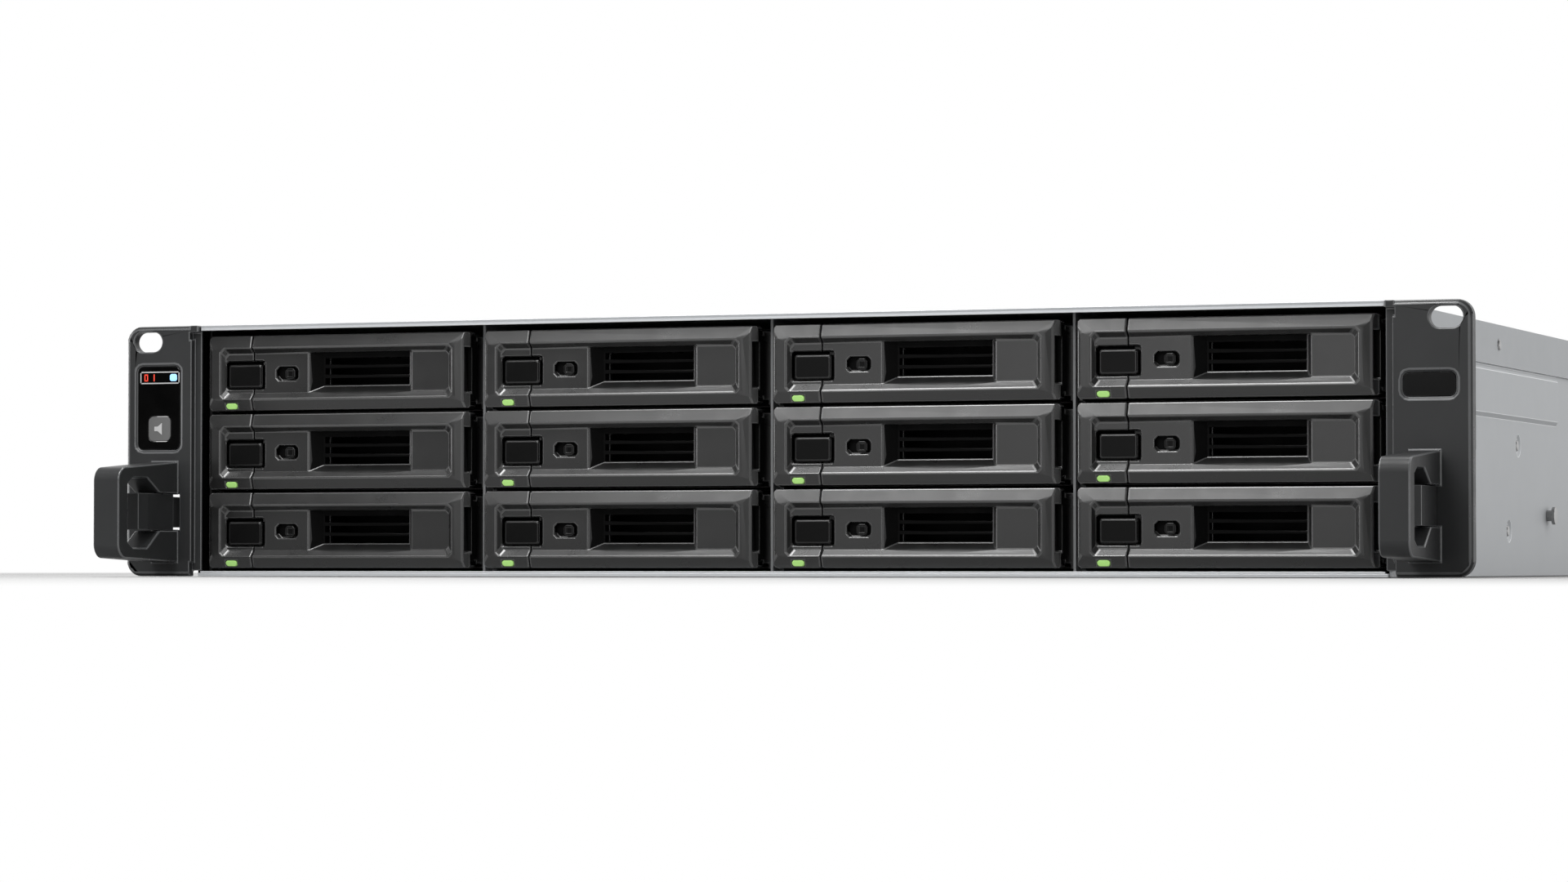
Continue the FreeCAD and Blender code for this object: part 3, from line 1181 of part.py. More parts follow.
def psu_release(level):
    """The thumb tab that frees a power supply, pushed towards its handle."""
    z = module_span(level)
    z_mid = (z[0] + z[1]) / 2
    x = PSU_LEFT + PSU_TAB_INSET + PSU_TAB_GAP
    face = CHASSIS_DEPTH + PSU_TAB_GAP
    foot = block((x, x + PSU_TAB_WIDTH), (face - MODULE_SHEET, face + PSU_TAB_GAP),
                 (z_mid - PSU_TAB_HEIGHT / 2, z_mid + PSU_TAB_HEIGHT / 2))
    middle = x + PSU_THUMB_INSET
    tip = face + PSU_THUMB_REACH
    wedge = [(middle - PSU_THUMB_ROOT / 2, face), (middle + PSU_THUMB_ROOT / 2, face),
             (middle + PSU_THUMB_TIP / 2, tip), (middle - PSU_THUMB_TIP / 2, tip)]
    thumb = prism_z(wedge, (z_mid - PSU_THUMB_HEIGHT / 2, z_mid + PSU_THUMB_HEIGHT / 2))
    return union([foot, thumb])


def port_cage(index, z_low):
    """The metal cage of one cable port and its mouth."""
    x = IO_LEFT + SAS_START + index * SAS_PITCH
    z = z_low + SAS_LIFT
    rear = CHASSIS_DEPTH
    cage = block((x - SAS_CAGE, x + SAS_WIDTH + SAS_CAGE), (rear - SAS_DEPTH - SAS_CAGE, rear + SAS_PROUD),
                 (z - SAS_CAGE, z + SAS_HEIGHT + SAS_CAGE))
    mouth = block((x, x + SAS_WIDTH), (rear - SAS_DEPTH, rear + SAS_PROUD + OVER), (z, z + SAS_HEIGHT))
    return cage, mouth


def lever_ears(level):
    """The two ears of the ejector lever, and the pin between them."""
    z = lever_span(level)
    rear = CHASSIS_DEPTH
    half = LEVER_EAR_WIDTH / 2
    ear_y = (rear - MODULE_SHEET / 2, rear + LEVER_THICKNESS + 2 * LEVER_STANDOFF)
    lows = (z[0] - LEVER_EAR - LEVER_EAR_GAP, z[1] + LEVER_EAR_GAP)
    ear_x = (LEVER_PIVOT_X - half, LEVER_PIVOT_X + half)
    ears = [block(ear_x, ear_y, (low, low + LEVER_EAR)) for low in lows]
    pin = prism_z(pin_outline(LEVER_PIVOT_X, LEVER_PIVOT_Y, LEVER_PIN_R),
                  (z[0] - LEVER_EAR / 2, z[1] + LEVER_EAR / 2))
    return ears + [pin]


def io_module(level):
    """A hot-swap expander module: can, port openings, vents and lever ears."""
    z = module_span(level)
    body = module_can((IO_LEFT, IO_RIGHT), IO_LENGTH, z)
    for index in range(SAS_PORTS):
        cage, mouth = port_cage(index, z[0])
        body = union([body, cage]).cut(mouth)
    for slot in vent_field((IO_LEFT + IO_VENT_START, IO_LEFT + IO_VENT_END),
                           (z[0] + IO_VENT_LIFT, z[1] - REAR_VENT_MARGIN)):
        body = body.cut(slot)
    return union([body] + lever_ears(level))


def lever_span(level):
    """The (low, high) Z span of a module's ejector lever."""
    low = module_span(level)[0] + LEVER_LIFT
    return (low, low + LEVER_HEIGHT)


def io_lever(level):
    """The ejector lever of an expander module, hinged at the split wall side."""
    z = lever_span(level)
    y = (CHASSIS_DEPTH + LEVER_STANDOFF, CHASSIS_DEPTH + LEVER_STANDOFF + LEVER_THICKNESS)
    left = LEVER_PIVOT_X - LEVER_LENGTH
    nose = LEVER_THICKNESS / 2
    cut = nose / 2
    right = LEVER_PIVOT_X + nose
    plan = [(left, y[0] + cut), (left + cut, y[1]), (right - cut, y[1]), (right, y[1] - cut),
            (right, y[0] + cut), (right - cut, y[0]), (left + cut, y[0])]
    body = prism_z(plan, z)
    hole = prism_z(ring_outline(LEVER_PIVOT_X, LEVER_PIVOT_Y, LEVER_PIN_R + LEVER_PIN_FIT, PIN_SIDES),
                   (z[0] - OVER, z[1] + OVER))
    groove = block((left + LEVER_GROOVE_START, LEVER_PIVOT_X - LEVER_GROOVE_END),
                   (y[1] - LEVER_GROOVE, y[1] + OVER), (z[0] + LEVER_EAR, z[1] - LEVER_EAR))
    return body.cut(hole).cut(groove)


def save_rear():
    """Both power supplies and both expander modules."""
    for level in range(2):
        number = str(level + 1)
        save("power_supply_" + number, power_supply(level))
        save("psu_release_" + number, psu_release(level))
        save("io_module_" + number, io_module(level))
        save("io_lever_" + number, io_lever(level))


# ---------------------------------------------------------------- fasteners
def screw_head(x, y, z):
    """A flat, slightly tapered screw head on a plane across X."""
    near = [(x, point[0], point[1]) for point in ring_outline(y, z, SCREW_HEAD_R - SCREW_TAPER, SCREW_SIDES)]
    far = [(x + SCREW_HEAD, point[0], point[1])
           for point in ring_outline(y, z, SCREW_HEAD_R - 2 * SCREW_TAPER, SCREW_SIDES)]
    return Part.makeLoft([wire(near), wire(far)], True, True)


def rail_stud(y, z):
    """A headed stud that a slide rail hooks on to."""
    neck = prism_x(ring_outline(y, z, STUD_NECK_R, SCREW_SIDES), (WALL_OUTER, WALL_OUTER + STUD_LENGTH))
    head = prism_x(ring_outline(y, z, STUD_R, SCREW_SIDES),
                   (WALL_OUTER + STUD_LENGTH - STUD_HEAD, WALL_OUTER + STUD_LENGTH))
    return union([neck, head])


def side_screws():
    """The cover and wall screws and the rail studs on both sides."""
    cover_ys = [COVER_SCREW_START] + [CHASSIS_DEPTH - back for back in COVER_SCREW_BACKS]
    pieces = [screw_head(HALF_CHASSIS, y, COVER_SCREW_Z) for y in cover_ys]
    pieces += [screw_head(WALL_OUTER - DIMPLE_DEPTH, y, z) for y, z in dimple_places()]
    pieces += [rail_stud(y, STUD_Z) for y in (STUD_START, CHASSIS_DEPTH - STUD_BACK)]
    return pieces + [mirrored(piece) for piece in pieces]


# ---------------------------------------------------------------- build everything
def main():
    os.makedirs("parts", exist_ok=True)
    save("chassis_base", group([chassis_base(), rear_shelf()]))
    save("top_cover", top_cover())
    save("drive_cage", drive_cage())
    save("backplane", backplane())
    save_trays()
    save_ears()
    save_fans()
    save_rear()
    save("screws", group(side_screws()))


main()
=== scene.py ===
"""Looks of a two-unit, twelve-bay disk shelf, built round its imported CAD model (metres, +Z up)."""
import math

import bmesh
import bpy
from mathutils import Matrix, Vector


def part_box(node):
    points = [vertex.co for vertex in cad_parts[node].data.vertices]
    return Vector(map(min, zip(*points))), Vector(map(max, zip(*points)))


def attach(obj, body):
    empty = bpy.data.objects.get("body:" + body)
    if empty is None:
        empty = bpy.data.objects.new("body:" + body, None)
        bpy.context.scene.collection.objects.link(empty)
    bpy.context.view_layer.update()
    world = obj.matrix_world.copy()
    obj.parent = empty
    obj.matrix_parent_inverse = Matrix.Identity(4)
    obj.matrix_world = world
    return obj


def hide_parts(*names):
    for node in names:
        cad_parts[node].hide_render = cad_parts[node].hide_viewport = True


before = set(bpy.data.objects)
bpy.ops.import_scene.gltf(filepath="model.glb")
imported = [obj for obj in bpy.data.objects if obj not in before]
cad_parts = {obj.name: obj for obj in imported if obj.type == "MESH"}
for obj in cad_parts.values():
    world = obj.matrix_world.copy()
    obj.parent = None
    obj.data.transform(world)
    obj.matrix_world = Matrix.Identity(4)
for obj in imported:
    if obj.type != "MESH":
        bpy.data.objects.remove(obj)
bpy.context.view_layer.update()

MM = 0.001
TRAYS = ["%02d" % number for number in range(1, 13)]


# ---------------------------------------------------------------- camera
CAMERA_PLACE = (0.5555, -1.7338, 0.0040)
CAMERA_YAW = 21.168
CAMERA_PITCH = 1.5615
CAMERA_LENS = 104.306
SENSOR_WIDTH = 36.0


def add_camera():
    """The camera at floor level, to the right of the shelf and turned to the left."""
    data = bpy.data.cameras.new("camera")
    data.lens = CAMERA_LENS
    data.sensor_width = SENSOR_WIDTH
    data.clip_start = 0.05
    data.clip_end = 50.0
    camera = bpy.data.objects.new("camera", data)
    camera.location = CAMERA_PLACE
    camera.rotation_euler = (math.radians(90 + CAMERA_PITCH), 0, math.radians(CAMERA_YAW))
    bpy.context.scene.collection.objects.link(camera)
    bpy.context.scene.camera = camera


# ---------------------------------------------------------------- materials
MOTTLE_PATCH = 35 * MM
GLOSS_PATCH = 8 * MM
NOISE_RANGE = (0.3, 0.7)
GRAIN_HEIGHT = 0.1
SCREEN_WHITE = 255
SCREEN_GAMMA = 2.2


def add_noise(tree, scale, detail=2.0):
    """A noise texture in the object's own coordinates; returns its factor socket."""
    place = tree.nodes.new("ShaderNodeTexCoord")
    noise = tree.nodes.new("ShaderNodeTexNoise")
    noise.inputs["Scale"].default_value = scale
    noise.inputs["Detail"].default_value = detail
    tree.links.new(place.outputs["Object"], noise.inputs["Vector"])
    return noise.outputs["Fac"]


def spread(tree, factor, low, high):
    """A noise factor stretched from NOISE_RANGE to the range low to high."""
    return remap(tree, factor, NOISE_RANGE, (low, high))


def remap(tree, value, given, wanted, steps="LINEAR"):
    """A value taken from the given range to the wanted one."""
    node = tree.nodes.new("ShaderNodeMapRange")
    node.interpolation_type = steps
    node.inputs["From Min"].default_value, node.inputs["From Max"].default_value = given
    node.inputs["To Min"].default_value, node.inputs["To Max"].default_value = wanted
    tree.links.new(value, node.inputs["Value"])
    return node.outputs["Result"]


def surface(name, colour, roughness, metallic=0.0, specular=0.5, grain=0.4, bump=0.08,
            mottle=0.12, rough_spread=0.06):
    """A material of mottled colour, uneven roughness and fine grain; grain is in millimetres."""
    material = bpy.data.materials.new(name)
    material.use_nodes = True
    tree = material.node_tree
    shader = tree.nodes["Principled BSDF"]
    shader.inputs["Metallic"].default_value = metallic
    shader.inputs["Specular IOR Level"].default_value = specular

    broad = add_noise(tree, 1 / MOTTLE_PATCH, 3.0)
    fine = add_noise(tree, 1 / (grain * MM), 2.0)
    mix = tree.nodes.new("ShaderNodeMix")
    mix.data_type = "RGBA"
    mix.inputs[6].default_value = [channel * (1 - mottle) for channel in colour] + [1]
    mix.inputs[7].default_value = [channel * (1 + mottle) for channel in colour] + [1]
    tree.links.new(spread(tree, broad, 0, 1), mix.inputs[0])
    tree.links.new(mix.outputs[2], shader.inputs["Base Color"])
    patch = add_noise(tree, 1 / GLOSS_PATCH, 4.0)
    rough = spread(tree, patch, roughness - rough_spread, roughness + rough_spread)
    tree.links.new(rough, shader.inputs["Roughness"])
    relief = tree.nodes.new("ShaderNodeBump")
    relief.inputs["Strength"].default_value = bump
    relief.inputs["Distance"].default_value = GRAIN_HEIGHT * grain * MM
    tree.links.new(fine, relief.inputs["Height"])
    tree.links.new(relief.outputs["Normal"], shader.inputs["Normal"])
    return material


def lamp(name, colour, glow):
    """A lit lens: a plain colour with some light of its own."""
    material = surface(name, colour, 0.3, mottle=0.05)
    shader = material.node_tree.nodes["Principled BSDF"]
    shader.inputs["Emission Color"].default_value = list(colour) + [1]
    shader.inputs["Emission Strength"].default_value = glow
    return material


def grey(level, tint=0.0):
    """A linear grey from a screen value of 0 to 255, slightly blue for a positive tint."""
    linear = (level / SCREEN_WHITE) ** SCREEN_GAMMA
    return (linear * (1 - tint), linear, linear * (1 + tint))


# each material's lighter second copy, used on a piece's rounded edges, is a painted highlight
M = {
    "tray": surface("tray_plastic", grey(20), 0.30, specular=0.75, grain=0.5, bump=0.02,
                    rough_spread=0.04),
    "tray_edge": surface("tray_plastic_edge", grey(50), 0.24, specular=1.0, grain=0.5, bump=0.02,
                         rough_spread=0.03),
    "button": surface("button_plastic", grey(14), 0.32, specular=0.12, grain=0.4),
    "button_edge": surface("button_plastic_edge", grey(24), 0.28, specular=0.5, grain=0.4),
    # near-black painted shade, for faces in recesses and vents, on the drive's front and on inner
    # walls
    "vent": surface("vent_shadow", grey(6), 0.6, specular=0.1, grain=0.4),
    "ear": surface("ear_powder_coat", grey(43, 0.03), 0.40, specular=0.25, grain=0.3, bump=0.12),
    "ear_edge": surface("ear_powder_coat_edge", grey(72, 0.03), 0.30, specular=0.8, grain=0.3),
    "shell": surface("shell_grey_steel", grey(165, 0.03), 0.50, metallic=0.25, specular=0.2,
                     grain=0.25, bump=0.01, mottle=0.012, rough_spread=0.01),
    "shell_edge": surface("shell_grey_steel_edge", grey(205, 0.02), 0.35, metallic=0.4,
                          specular=0.4, grain=0.25, mottle=0.03),
    "cover": surface("cover_grey_steel", grey(160, 0.03), 0.50, metallic=0.25, specular=0.1,
                     grain=0.25, bump=0.02, mottle=0.015, rough_spread=0.02),
    "cover_edge": surface("cover_grey_steel_edge", grey(195, 0.02), 0.35, metallic=0.4,
                          specular=0.4, grain=0.25, mottle=0.03),
    "cage": surface("cage_steel", grey(110, 0.02), 0.42, metallic=0.4, grain=0.6, mottle=0.08),
    "zinc": surface("zinc_steel", grey(165, 0.02), 0.38, metallic=0.7, grain=0.6, mottle=0.08),
    "zinc_edge": surface("zinc_steel_edge", grey(200), 0.3, metallic=0.8, mottle=0.05),
    "window": surface("window_gloss", grey(5), 0.16, specular=0.12, grain=2.0, bump=0.02,
                      rough_spread=0.03),
    "window_edge": surface("window_gloss_edge", grey(20), 0.2, specular=0.6, rough_spread=0.03),
    "board": surface("board_green", (0.012, 0.07, 0.03), 0.4, grain=0.8, bump=0.2),
    "connector": surface("connector_black", grey(24), 0.5, grain=0.3),
    "fan": surface("fan_plastic", grey(30), 0.45, grain=0.4),
    "release": surface("release_plastic", (0.02, 0.13, 0.16), 0.4, grain=0.4),
    "screw": surface("screw_steel", grey(150), 0.3, metallic=0.9, grain=0.3),
    "drive": surface("drive_cast", grey(95), 0.5, metallic=0.7, grain=0.7, bump=0.2),
    "lens": lamp("lamp_green", (0.28, 0.50, 0.14), 0.24),
    "digit": lamp("digit_red", (0.55, 0.04, 0.02), 0.5),
    "status": lamp("status_blue", (0.25, 0.50, 0.90), 0.6),
    "print": surface("printed_mark", grey(150), 0.45, grain=0.4),
    "mute": surface("mute_grey", grey(80), 0.4, grain=0.4),
}


# ---------------------------------------------------------------- mesh tools
WELD_GAP = 0.001 * MM
FLAT_ANGLE = math.radians(0.6)
SLIGHT_ANGLE = math.radians(1)
SHARP_ANGLE = math.radians(24)
EDGE_ROOM = 0.4
ALONG_COSINE = 0.9
FLAT_AREA = 30 * MM * MM
NORMAL_WEIGHT = 90
LIT_TILT = 0.3
# slot 1 holds the lighter edge copy, a painted highlight; slot 2 the near-black painted shade
EDGE_HIGHLIGHT, SHADOWED = 1, 2
PIECE_ROUND = 0.3 * MM


def shells(node):
    """The separate solids of a CAD node, as BMeshes, with flat areas joined to single faces."""
    whole = bmesh.new()
    whole.from_mesh(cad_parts[node].data)
    bmesh.ops.remove_doubles(whole, verts=whole.verts, dist=WELD_GAP)
    found = []
    left = set(whole.faces)
    while left:
        reached = {left.pop()}
        front = list(reached)
        while front:
            face = front.pop()
            for edge in face.edges:
                for other in edge.link_faces:
                    if other in left:
                        left.remove(other)
                        reached.add(other)
                        front.append(other)
        found.append([[tuple(v.co) for v in face.verts] for face in reached])
    whole.free()
    return [from_polygons(polygons) for polygons in found]


def from_polygons(polygons):
    """A welded BMesh from lists of corner points, with flat areas joined."""
    mesh = bmesh.new()
    known = {}
    for polygon in polygons:
        corners = []
        for point in polygon:
            if point not in known:
                known[point] = mesh.verts.new(point)
            corners.append(known[point])
        mesh.faces.new(corners)
    bmesh.ops.dissolve_limit(mesh, angle_limit=FLAT_ANGLE, verts=mesh.verts, edges=mesh.edges)
    return mesh


def extent(mesh):
    """Lowest and highest corner of a BMesh."""
    low = Vector([min(v.co[axis] for v in mesh.verts) for axis in range(3)])
    high = Vector([max(v.co[axis] for v in mesh.verts) for axis in range(3)])
    return low, high


def width_of(mesh):
    """Size of a BMesh along X."""
    low, high = extent(mesh)
    return high.x - low.x


def mark_rounding(mesh, width):
    """Gives each sharp edge the share of the rounding that its neighbours leave room for."""
    layer = mesh.edges.layers.float.new("bevel_weight_edge")
    for edge in mesh.edges:
        if len(edge.link_faces) != 2 or edge.calc_face_angle(0) < SHARP_ANGLE:
            continue
        run = (edge.verts[1].co - edge.verts[0].co).normalized()
        room = width / EDGE_ROOM
        for vertex in edge.verts:
            for other in vertex.link_edges:
                side = other.other_vert(vertex).co - vertex.co
                if other is not edge and abs(side.normalized().dot(run)) < ALONG_COSINE:
                    room = min(room, side.length)
        edge[layer] = min(1.0, EDGE_ROOM * room / width)


def add_rounding(piece, width, segments, method):
    """Rounded edges in the lighter edge material, a painted highlight, with even shading on the flat
    faces.
    """
    bevel = piece.modifiers.new("rounded_edges", "BEVEL")
    bevel.width = width
    bevel.segments = segments
    bevel.limit_method = method
    bevel.angle_limit = SHARP_ANGLE
    bevel.use_clamp_overlap = False
    bevel.material = EDGE_HIGHLIGHT
    normals = piece.modifiers.new("even_shading", "WEIGHTED_NORMAL")
    normals.weight = NORMAL_WEIGHT
    normals.keep_sharp = True


def is_curved(face):
    """Whether a face meets a neighbour at a slight angle, as on a rounded corner."""
    return any(SLIGHT_ANGLE < edge.calc_face_angle(0) < SHARP_ANGLE for edge in face.edges)


def paint_shade_in_box(mesh, low, high):
    """Paints shade on the faces inside a box with the near-black material, apart from ledges and
    walls that face left, which the lamps light, and leaves edges between painted faces unrounded.
    """
    mesh.normal_update()
    layer = mesh.edges.layers.float.get("bevel_weight_edge")
    for face in mesh.faces:
        middle = face.calc_center_median()
        inside = all(low[axis] < middle[axis] < high[axis] for axis in range(3))
        if inside and face.normal.z < LIT_TILT and face.normal.x > -LIT_TILT:
            face.material_index = SHADOWED
    for edge in mesh.edges:
        if all(face.material_index == SHADOWED for face in edge.link_faces):
            edge[layer] = 0


def piece_of(name, meshes, look, body, width=PIECE_ROUND, segments=3, painted_shade_box=None):
    """A new object from BMeshes that rides on a body, with rounded edges in a lighter colour as a
    painted highlight, and painted shade on faces inside the given box.
    """
    joined = bmesh.new()
    for mesh in meshes:
        data = bpy.data.meshes.new("part")
        mesh.to_mesh(data)
        joined.from_mesh(data)
        bpy.data.meshes.remove(data)
    mark_rounding(joined, width)
    if painted_shade_box:
        paint_shade_in_box(joined, *painted_shade_box)
    for face in joined.faces:
        face.smooth = face.calc_area() < FLAT_AREA and is_curved(face)
    data = bpy.data.meshes.new(name)
    joined.to_mesh(data)
    joined.free()
    piece = bpy.data.objects.new(name, data)
    bpy.context.scene.collection.objects.link(piece)
    data.materials.append(M[look])
    data.materials.append(M.get(look + "_edge", M[look]))
    data.materials.append(M["vent"])
    add_rounding(piece, width, segments, "WEIGHT")
    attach(piece, body)
    return piece


def dress_node(node, look, width=0.15 * MM, segments=2):
    """Keeps a CAD node's own mesh, with its material and softened edges in a lighter copy of it, a
    painted highlight.
    """
    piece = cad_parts[node]
    piece.data.materials.clear()
    piece.data.materials.append(M[look])
    piece.data.materials.append(M.get(look + "_edge", M[look]))
    weld = piece.modifiers.new("welded", "WELD")
    weld.merge_threshold = WELD_GAP
    flat = piece.modifiers.new("flat_faces", "DECIMATE")
    flat.decimate_type = "DISSOLVE"
    flat.angle_limit = FLAT_ANGLE
    add_rounding(piece, width, segments, "ANGLE")
    return piece


# ---------------------------------------------------------------- trays
TRAY_ROUND = 0.5 * MM
# faces of the carrier and handle from HOLLOW_START to HOLLOW_END behind the front, and of the drive
# to DRIVE_SHADE, get painted shade
HOLLOW_START = 2.5 * MM
HOLLOW_END = 9.0 * MM
HOLLOW_MARGIN = 18 * MM
DRIVE_SHADE = 40 * MM
BUTTON_ROUND = 0.4 * MM
CARRIER_LEAST = 103 * MM
DRIVE_LEAST = 90 * MM
LENS_LEAST = 3 * MM


def place_copies(master, node, body_stem):
    """Copies of the first tray's piece in the other bays; the copies share its mesh."""
    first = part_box(node % TRAYS[0])[0]
    for number in TRAYS:
        if number == TRAYS[0]:
            piece = master
        else:
            piece = master.copy()
            piece.name = master.name[:-2] + number
            piece.parent = None
            piece.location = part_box(node % number)[0] - first
            bpy.context.scene.collection.objects.link(piece)
            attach(piece, body_stem + number)
        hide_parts(node % number)


def build_trays():
    """Carrier, lamp lens, hinge pin, drive, handle, lock key and release button of each tray."""
    drive, carrier, lens, pin = None, None, None, None
    for mesh in shells("tray_01"):
        width = width_of(mesh)
        if width > CARRIER_LEAST:
            carrier = mesh
        elif width > DRIVE_LEAST:
            drive = mesh
        elif width > LENS_LEAST:
            lens = mesh
        else:
            pin = mesh
    # the recess and vent behind each tray's front, and the drive's front, get the near-black painted
    # shade
    low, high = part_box("tray_handle_01")
    painted_shade_box = (Vector((low.x - HOLLOW_MARGIN, low.y + HOLLOW_START, low.z)),
              Vector((high.x, low.y + HOLLOW_END, high.z)))
    low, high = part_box("tray_01")
    shadowed = (Vector((low.x, low.y, low.z)), Vector((high.x, low.y + DRIVE_SHADE, high.z)))
    handle, key = sorted(shells("tray_handle_01"), key=width_of, reverse=True)
    button = shells("release_button_01")
    for made, node, body_stem, slot_name in (
            (("carrier_01", [carrier], "tray", "tray_01", TRAY_ROUND, 3, painted_shade_box),
             "tray_%s", "tray_", "tray_plastic"),
            (("lamp_lens_01", [lens], "lens", "tray_01"),
             "tray_%s", "tray_", "lamp_lens"),
            (("hinge_pin_01", [pin], "screw", "tray_01"),
             "tray_%s", "tray_", "screw_steel"),
            (("disk_drive_01", [drive], "drive", "tray_01", PIECE_ROUND, 3, shadowed),
             "tray_%s", "tray_", "drive_metal"),
            (("swing_handle_01", [handle], "tray", "handle_01", TRAY_ROUND, 3, painted_shade_box),
             "tray_handle_%s", "handle_", "tray_plastic"),
            (("lock_key_01", [key], "button", "handle_01"),
             "tray_handle_%s", "handle_", "button_plastic"),
            (("push_button_01", button, "button", "button_01", BUTTON_ROUND),
             "release_button_%s", "button_", "button_plastic")):
        place_copies(piece_of(*made), node, body_stem)


# ---------------------------------------------------------------- ears
EAR_ROUND = 0.5 * MM
LATCH_ROUND = 0.2 * MM
# faces of the right ear's plate inside this box get painted shade
PLATE_PAINTED_SHADE = (Vector((215, -319.0, 55)) * MM, Vector((240, -318.0, 67)) * MM)


def build_ears():
    """Powder-coated ears and latches, the glossy control window and the mute button."""
    for side in ("left", "right"):
        ear = piece_of("rack_ear_" + side, shells("ear_" + side), "ear", "chassis", EAR_ROUND, 3,
                       PLATE_PAINTED_SHADE)
        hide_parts("ear_" + side)
        dress_node("ear_latch_" + side, "ear", LATCH_ROUND)
    dress_node("control_window", "window")
    dress_node("mute_button", "mute")


# ---------------------------------------------------------------- marks on the control window
MARK_THICKNESS = 0.12 * MM
DISPLAY_X = (-235.4 * MM, -220.6 * MM)
DISPLAY_Z = (68.2 * MM, 71.7 * MM)
DIGIT_INSET = (1.2 * MM, 0.5 * MM)
DIGIT_PITCH = 2.6 * MM
DIGIT_WIDTH = 1.5 * MM
DIGIT_HEIGHT = 2.5 * MM
STROKE = 0.42 * MM
SEGMENTS = {"0": "abcdef", "1": "bc"}
LAMP_X = (3.4 * MM, 0.6 * MM)
LAMP_INSET = 0.5 * MM
LAMP_CORNER = 0.5 * MM
LAMP_STEP = 0.4 * MM
SPEAKER_BACK = (-2.0 * MM, -0.7 * MM)
SPEAKER_HALF = 0.8 * MM
SPEAKER_HORN = ((-0.7, -0.8), (1.0, -2.1), (1.0, 2.1), (-0.7, 0.8))
MARK_ROUND = 0.04 * MM


def add_plate(mesh, outline, front):
    """A thin plate standing on the face at depth front, from its outline in X and Z."""
    near, far = [[mesh.verts.new((x, depth, z)) for x, z in outline]
                 for depth in (front - MARK_THICKNESS, front)]
    mesh.faces.new(near)
    mesh.faces.new(far[::-1])
    for place in range(len(outline)):
        mesh.faces.new((near[place - 1], far[place - 1], far[place], near[place]))


def add_block(mesh, x, z, front, cut=0.0):
    """A thin rectangular mark; cut takes its corners off."""
    outline = [(x[0], z[0] + cut), (x[0] + cut, z[0]), (x[1] - cut, z[0]), (x[1], z[0] + cut),
               (x[1], z[1] - cut), (x[1] - cut, z[1]), (x[0] + cut, z[1]), (x[0], z[1] - cut)]
    add_plate(mesh, outline if cut else outline[::2], front)


def add_digit(mesh, digit, left, low, front):
    """A seven-segment numeral."""
    right, top, half = left + DIGIT_WIDTH, low + DIGIT_HEIGHT, low + DIGIT_HEIGHT / 2
    whole, left_bar, right_bar = (left, right), (left, left + STROKE), (right - STROKE, right)
    places = {"a": (whole, (top - STROKE, top)), "b": (right_bar, (half, top)),
              "c": (right_bar, (low, half)), "d": (whole, (low, low + STROKE)),
              "e": (left_bar, (low, half)), "f": (left_bar, (half, top))}
    for segment in SEGMENTS[digit]:
        add_block(mesh, *places[segment], front)


def build_marks():
    """The lit number and lamp of the display, its outline, and a loudspeaker on the mute button."""
    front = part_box("control_window")[0].y
    digits = bmesh.new()
    for place, digit in enumerate("01"):
        add_digit(digits, digit, DISPLAY_X[0] + DIGIT_INSET[0] + place * DIGIT_PITCH,
                  DISPLAY_Z[0] + DIGIT_INSET[1], front)
    outline = bmesh.new()
    for x, z in ((DISPLAY_X, (DISPLAY_Z[0] - STROKE, DISPLAY_Z[0])),
                 (DISPLAY_X, (DISPLAY_Z[1], DISPLAY_Z[1] + STROKE)),
                 ((DISPLAY_X[0] - STROKE, DISPLAY_X[0]), DISPLAY_Z),
                 ((DISPLAY_X[1], DISPLAY_X[1] + STROKE), DISPLAY_Z)):
        add_block(outline, x, z, front)
    lit = bmesh.new()
    for step in (0.0, LAMP_STEP):
        add_block(lit, (DISPLAY_X[1] - LAMP_X[0] + step, DISPLAY_X[1] - LAMP_X[1] - step),
                  (DISPLAY_Z[0] + LAMP_INSET + step, DISPLAY_Z[1] - LAMP_INSET - step),
                  front - step / 4, LAMP_CORNER)
    low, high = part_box("mute_button")
    middle_x, middle_z = (low.x + high.x) / 2, (low.z + high.z) / 2
    speaker = bmesh.new()
    add_block(speaker, (middle_x + SPEAKER_BACK[0], middle_x + SPEAKER_BACK[1]),
              (middle_z - SPEAKER_HALF, middle_z + SPEAKER_HALF), low.y)
    horn = [(middle_x + dx * MM, middle_z + dz * MM) for dx, dz in SPEAKER_HORN]
    add_plate(speaker, horn, low.y)
    for name, mesh, look, body in (("display_digits", digits, "digit", "chassis"),
                                   ("display_outline", outline, "print", "chassis"),
                                   ("status_lamp", lit, "status", "chassis"),
                                   ("speaker_mark", speaker, "print", "mute")):
        piece = piece_of(name, [mesh], look, body, MARK_ROUND, 1)


# ---------------------------------------------------------------- shell and inside
INNER_FACE = 1.5 * MM
SHEET_ROUND = 0.12 * MM
SCREW_ROUND = 0.1 * MM
SIDE_START = 200 * MM
BOARD_LEAST = 100 * MM


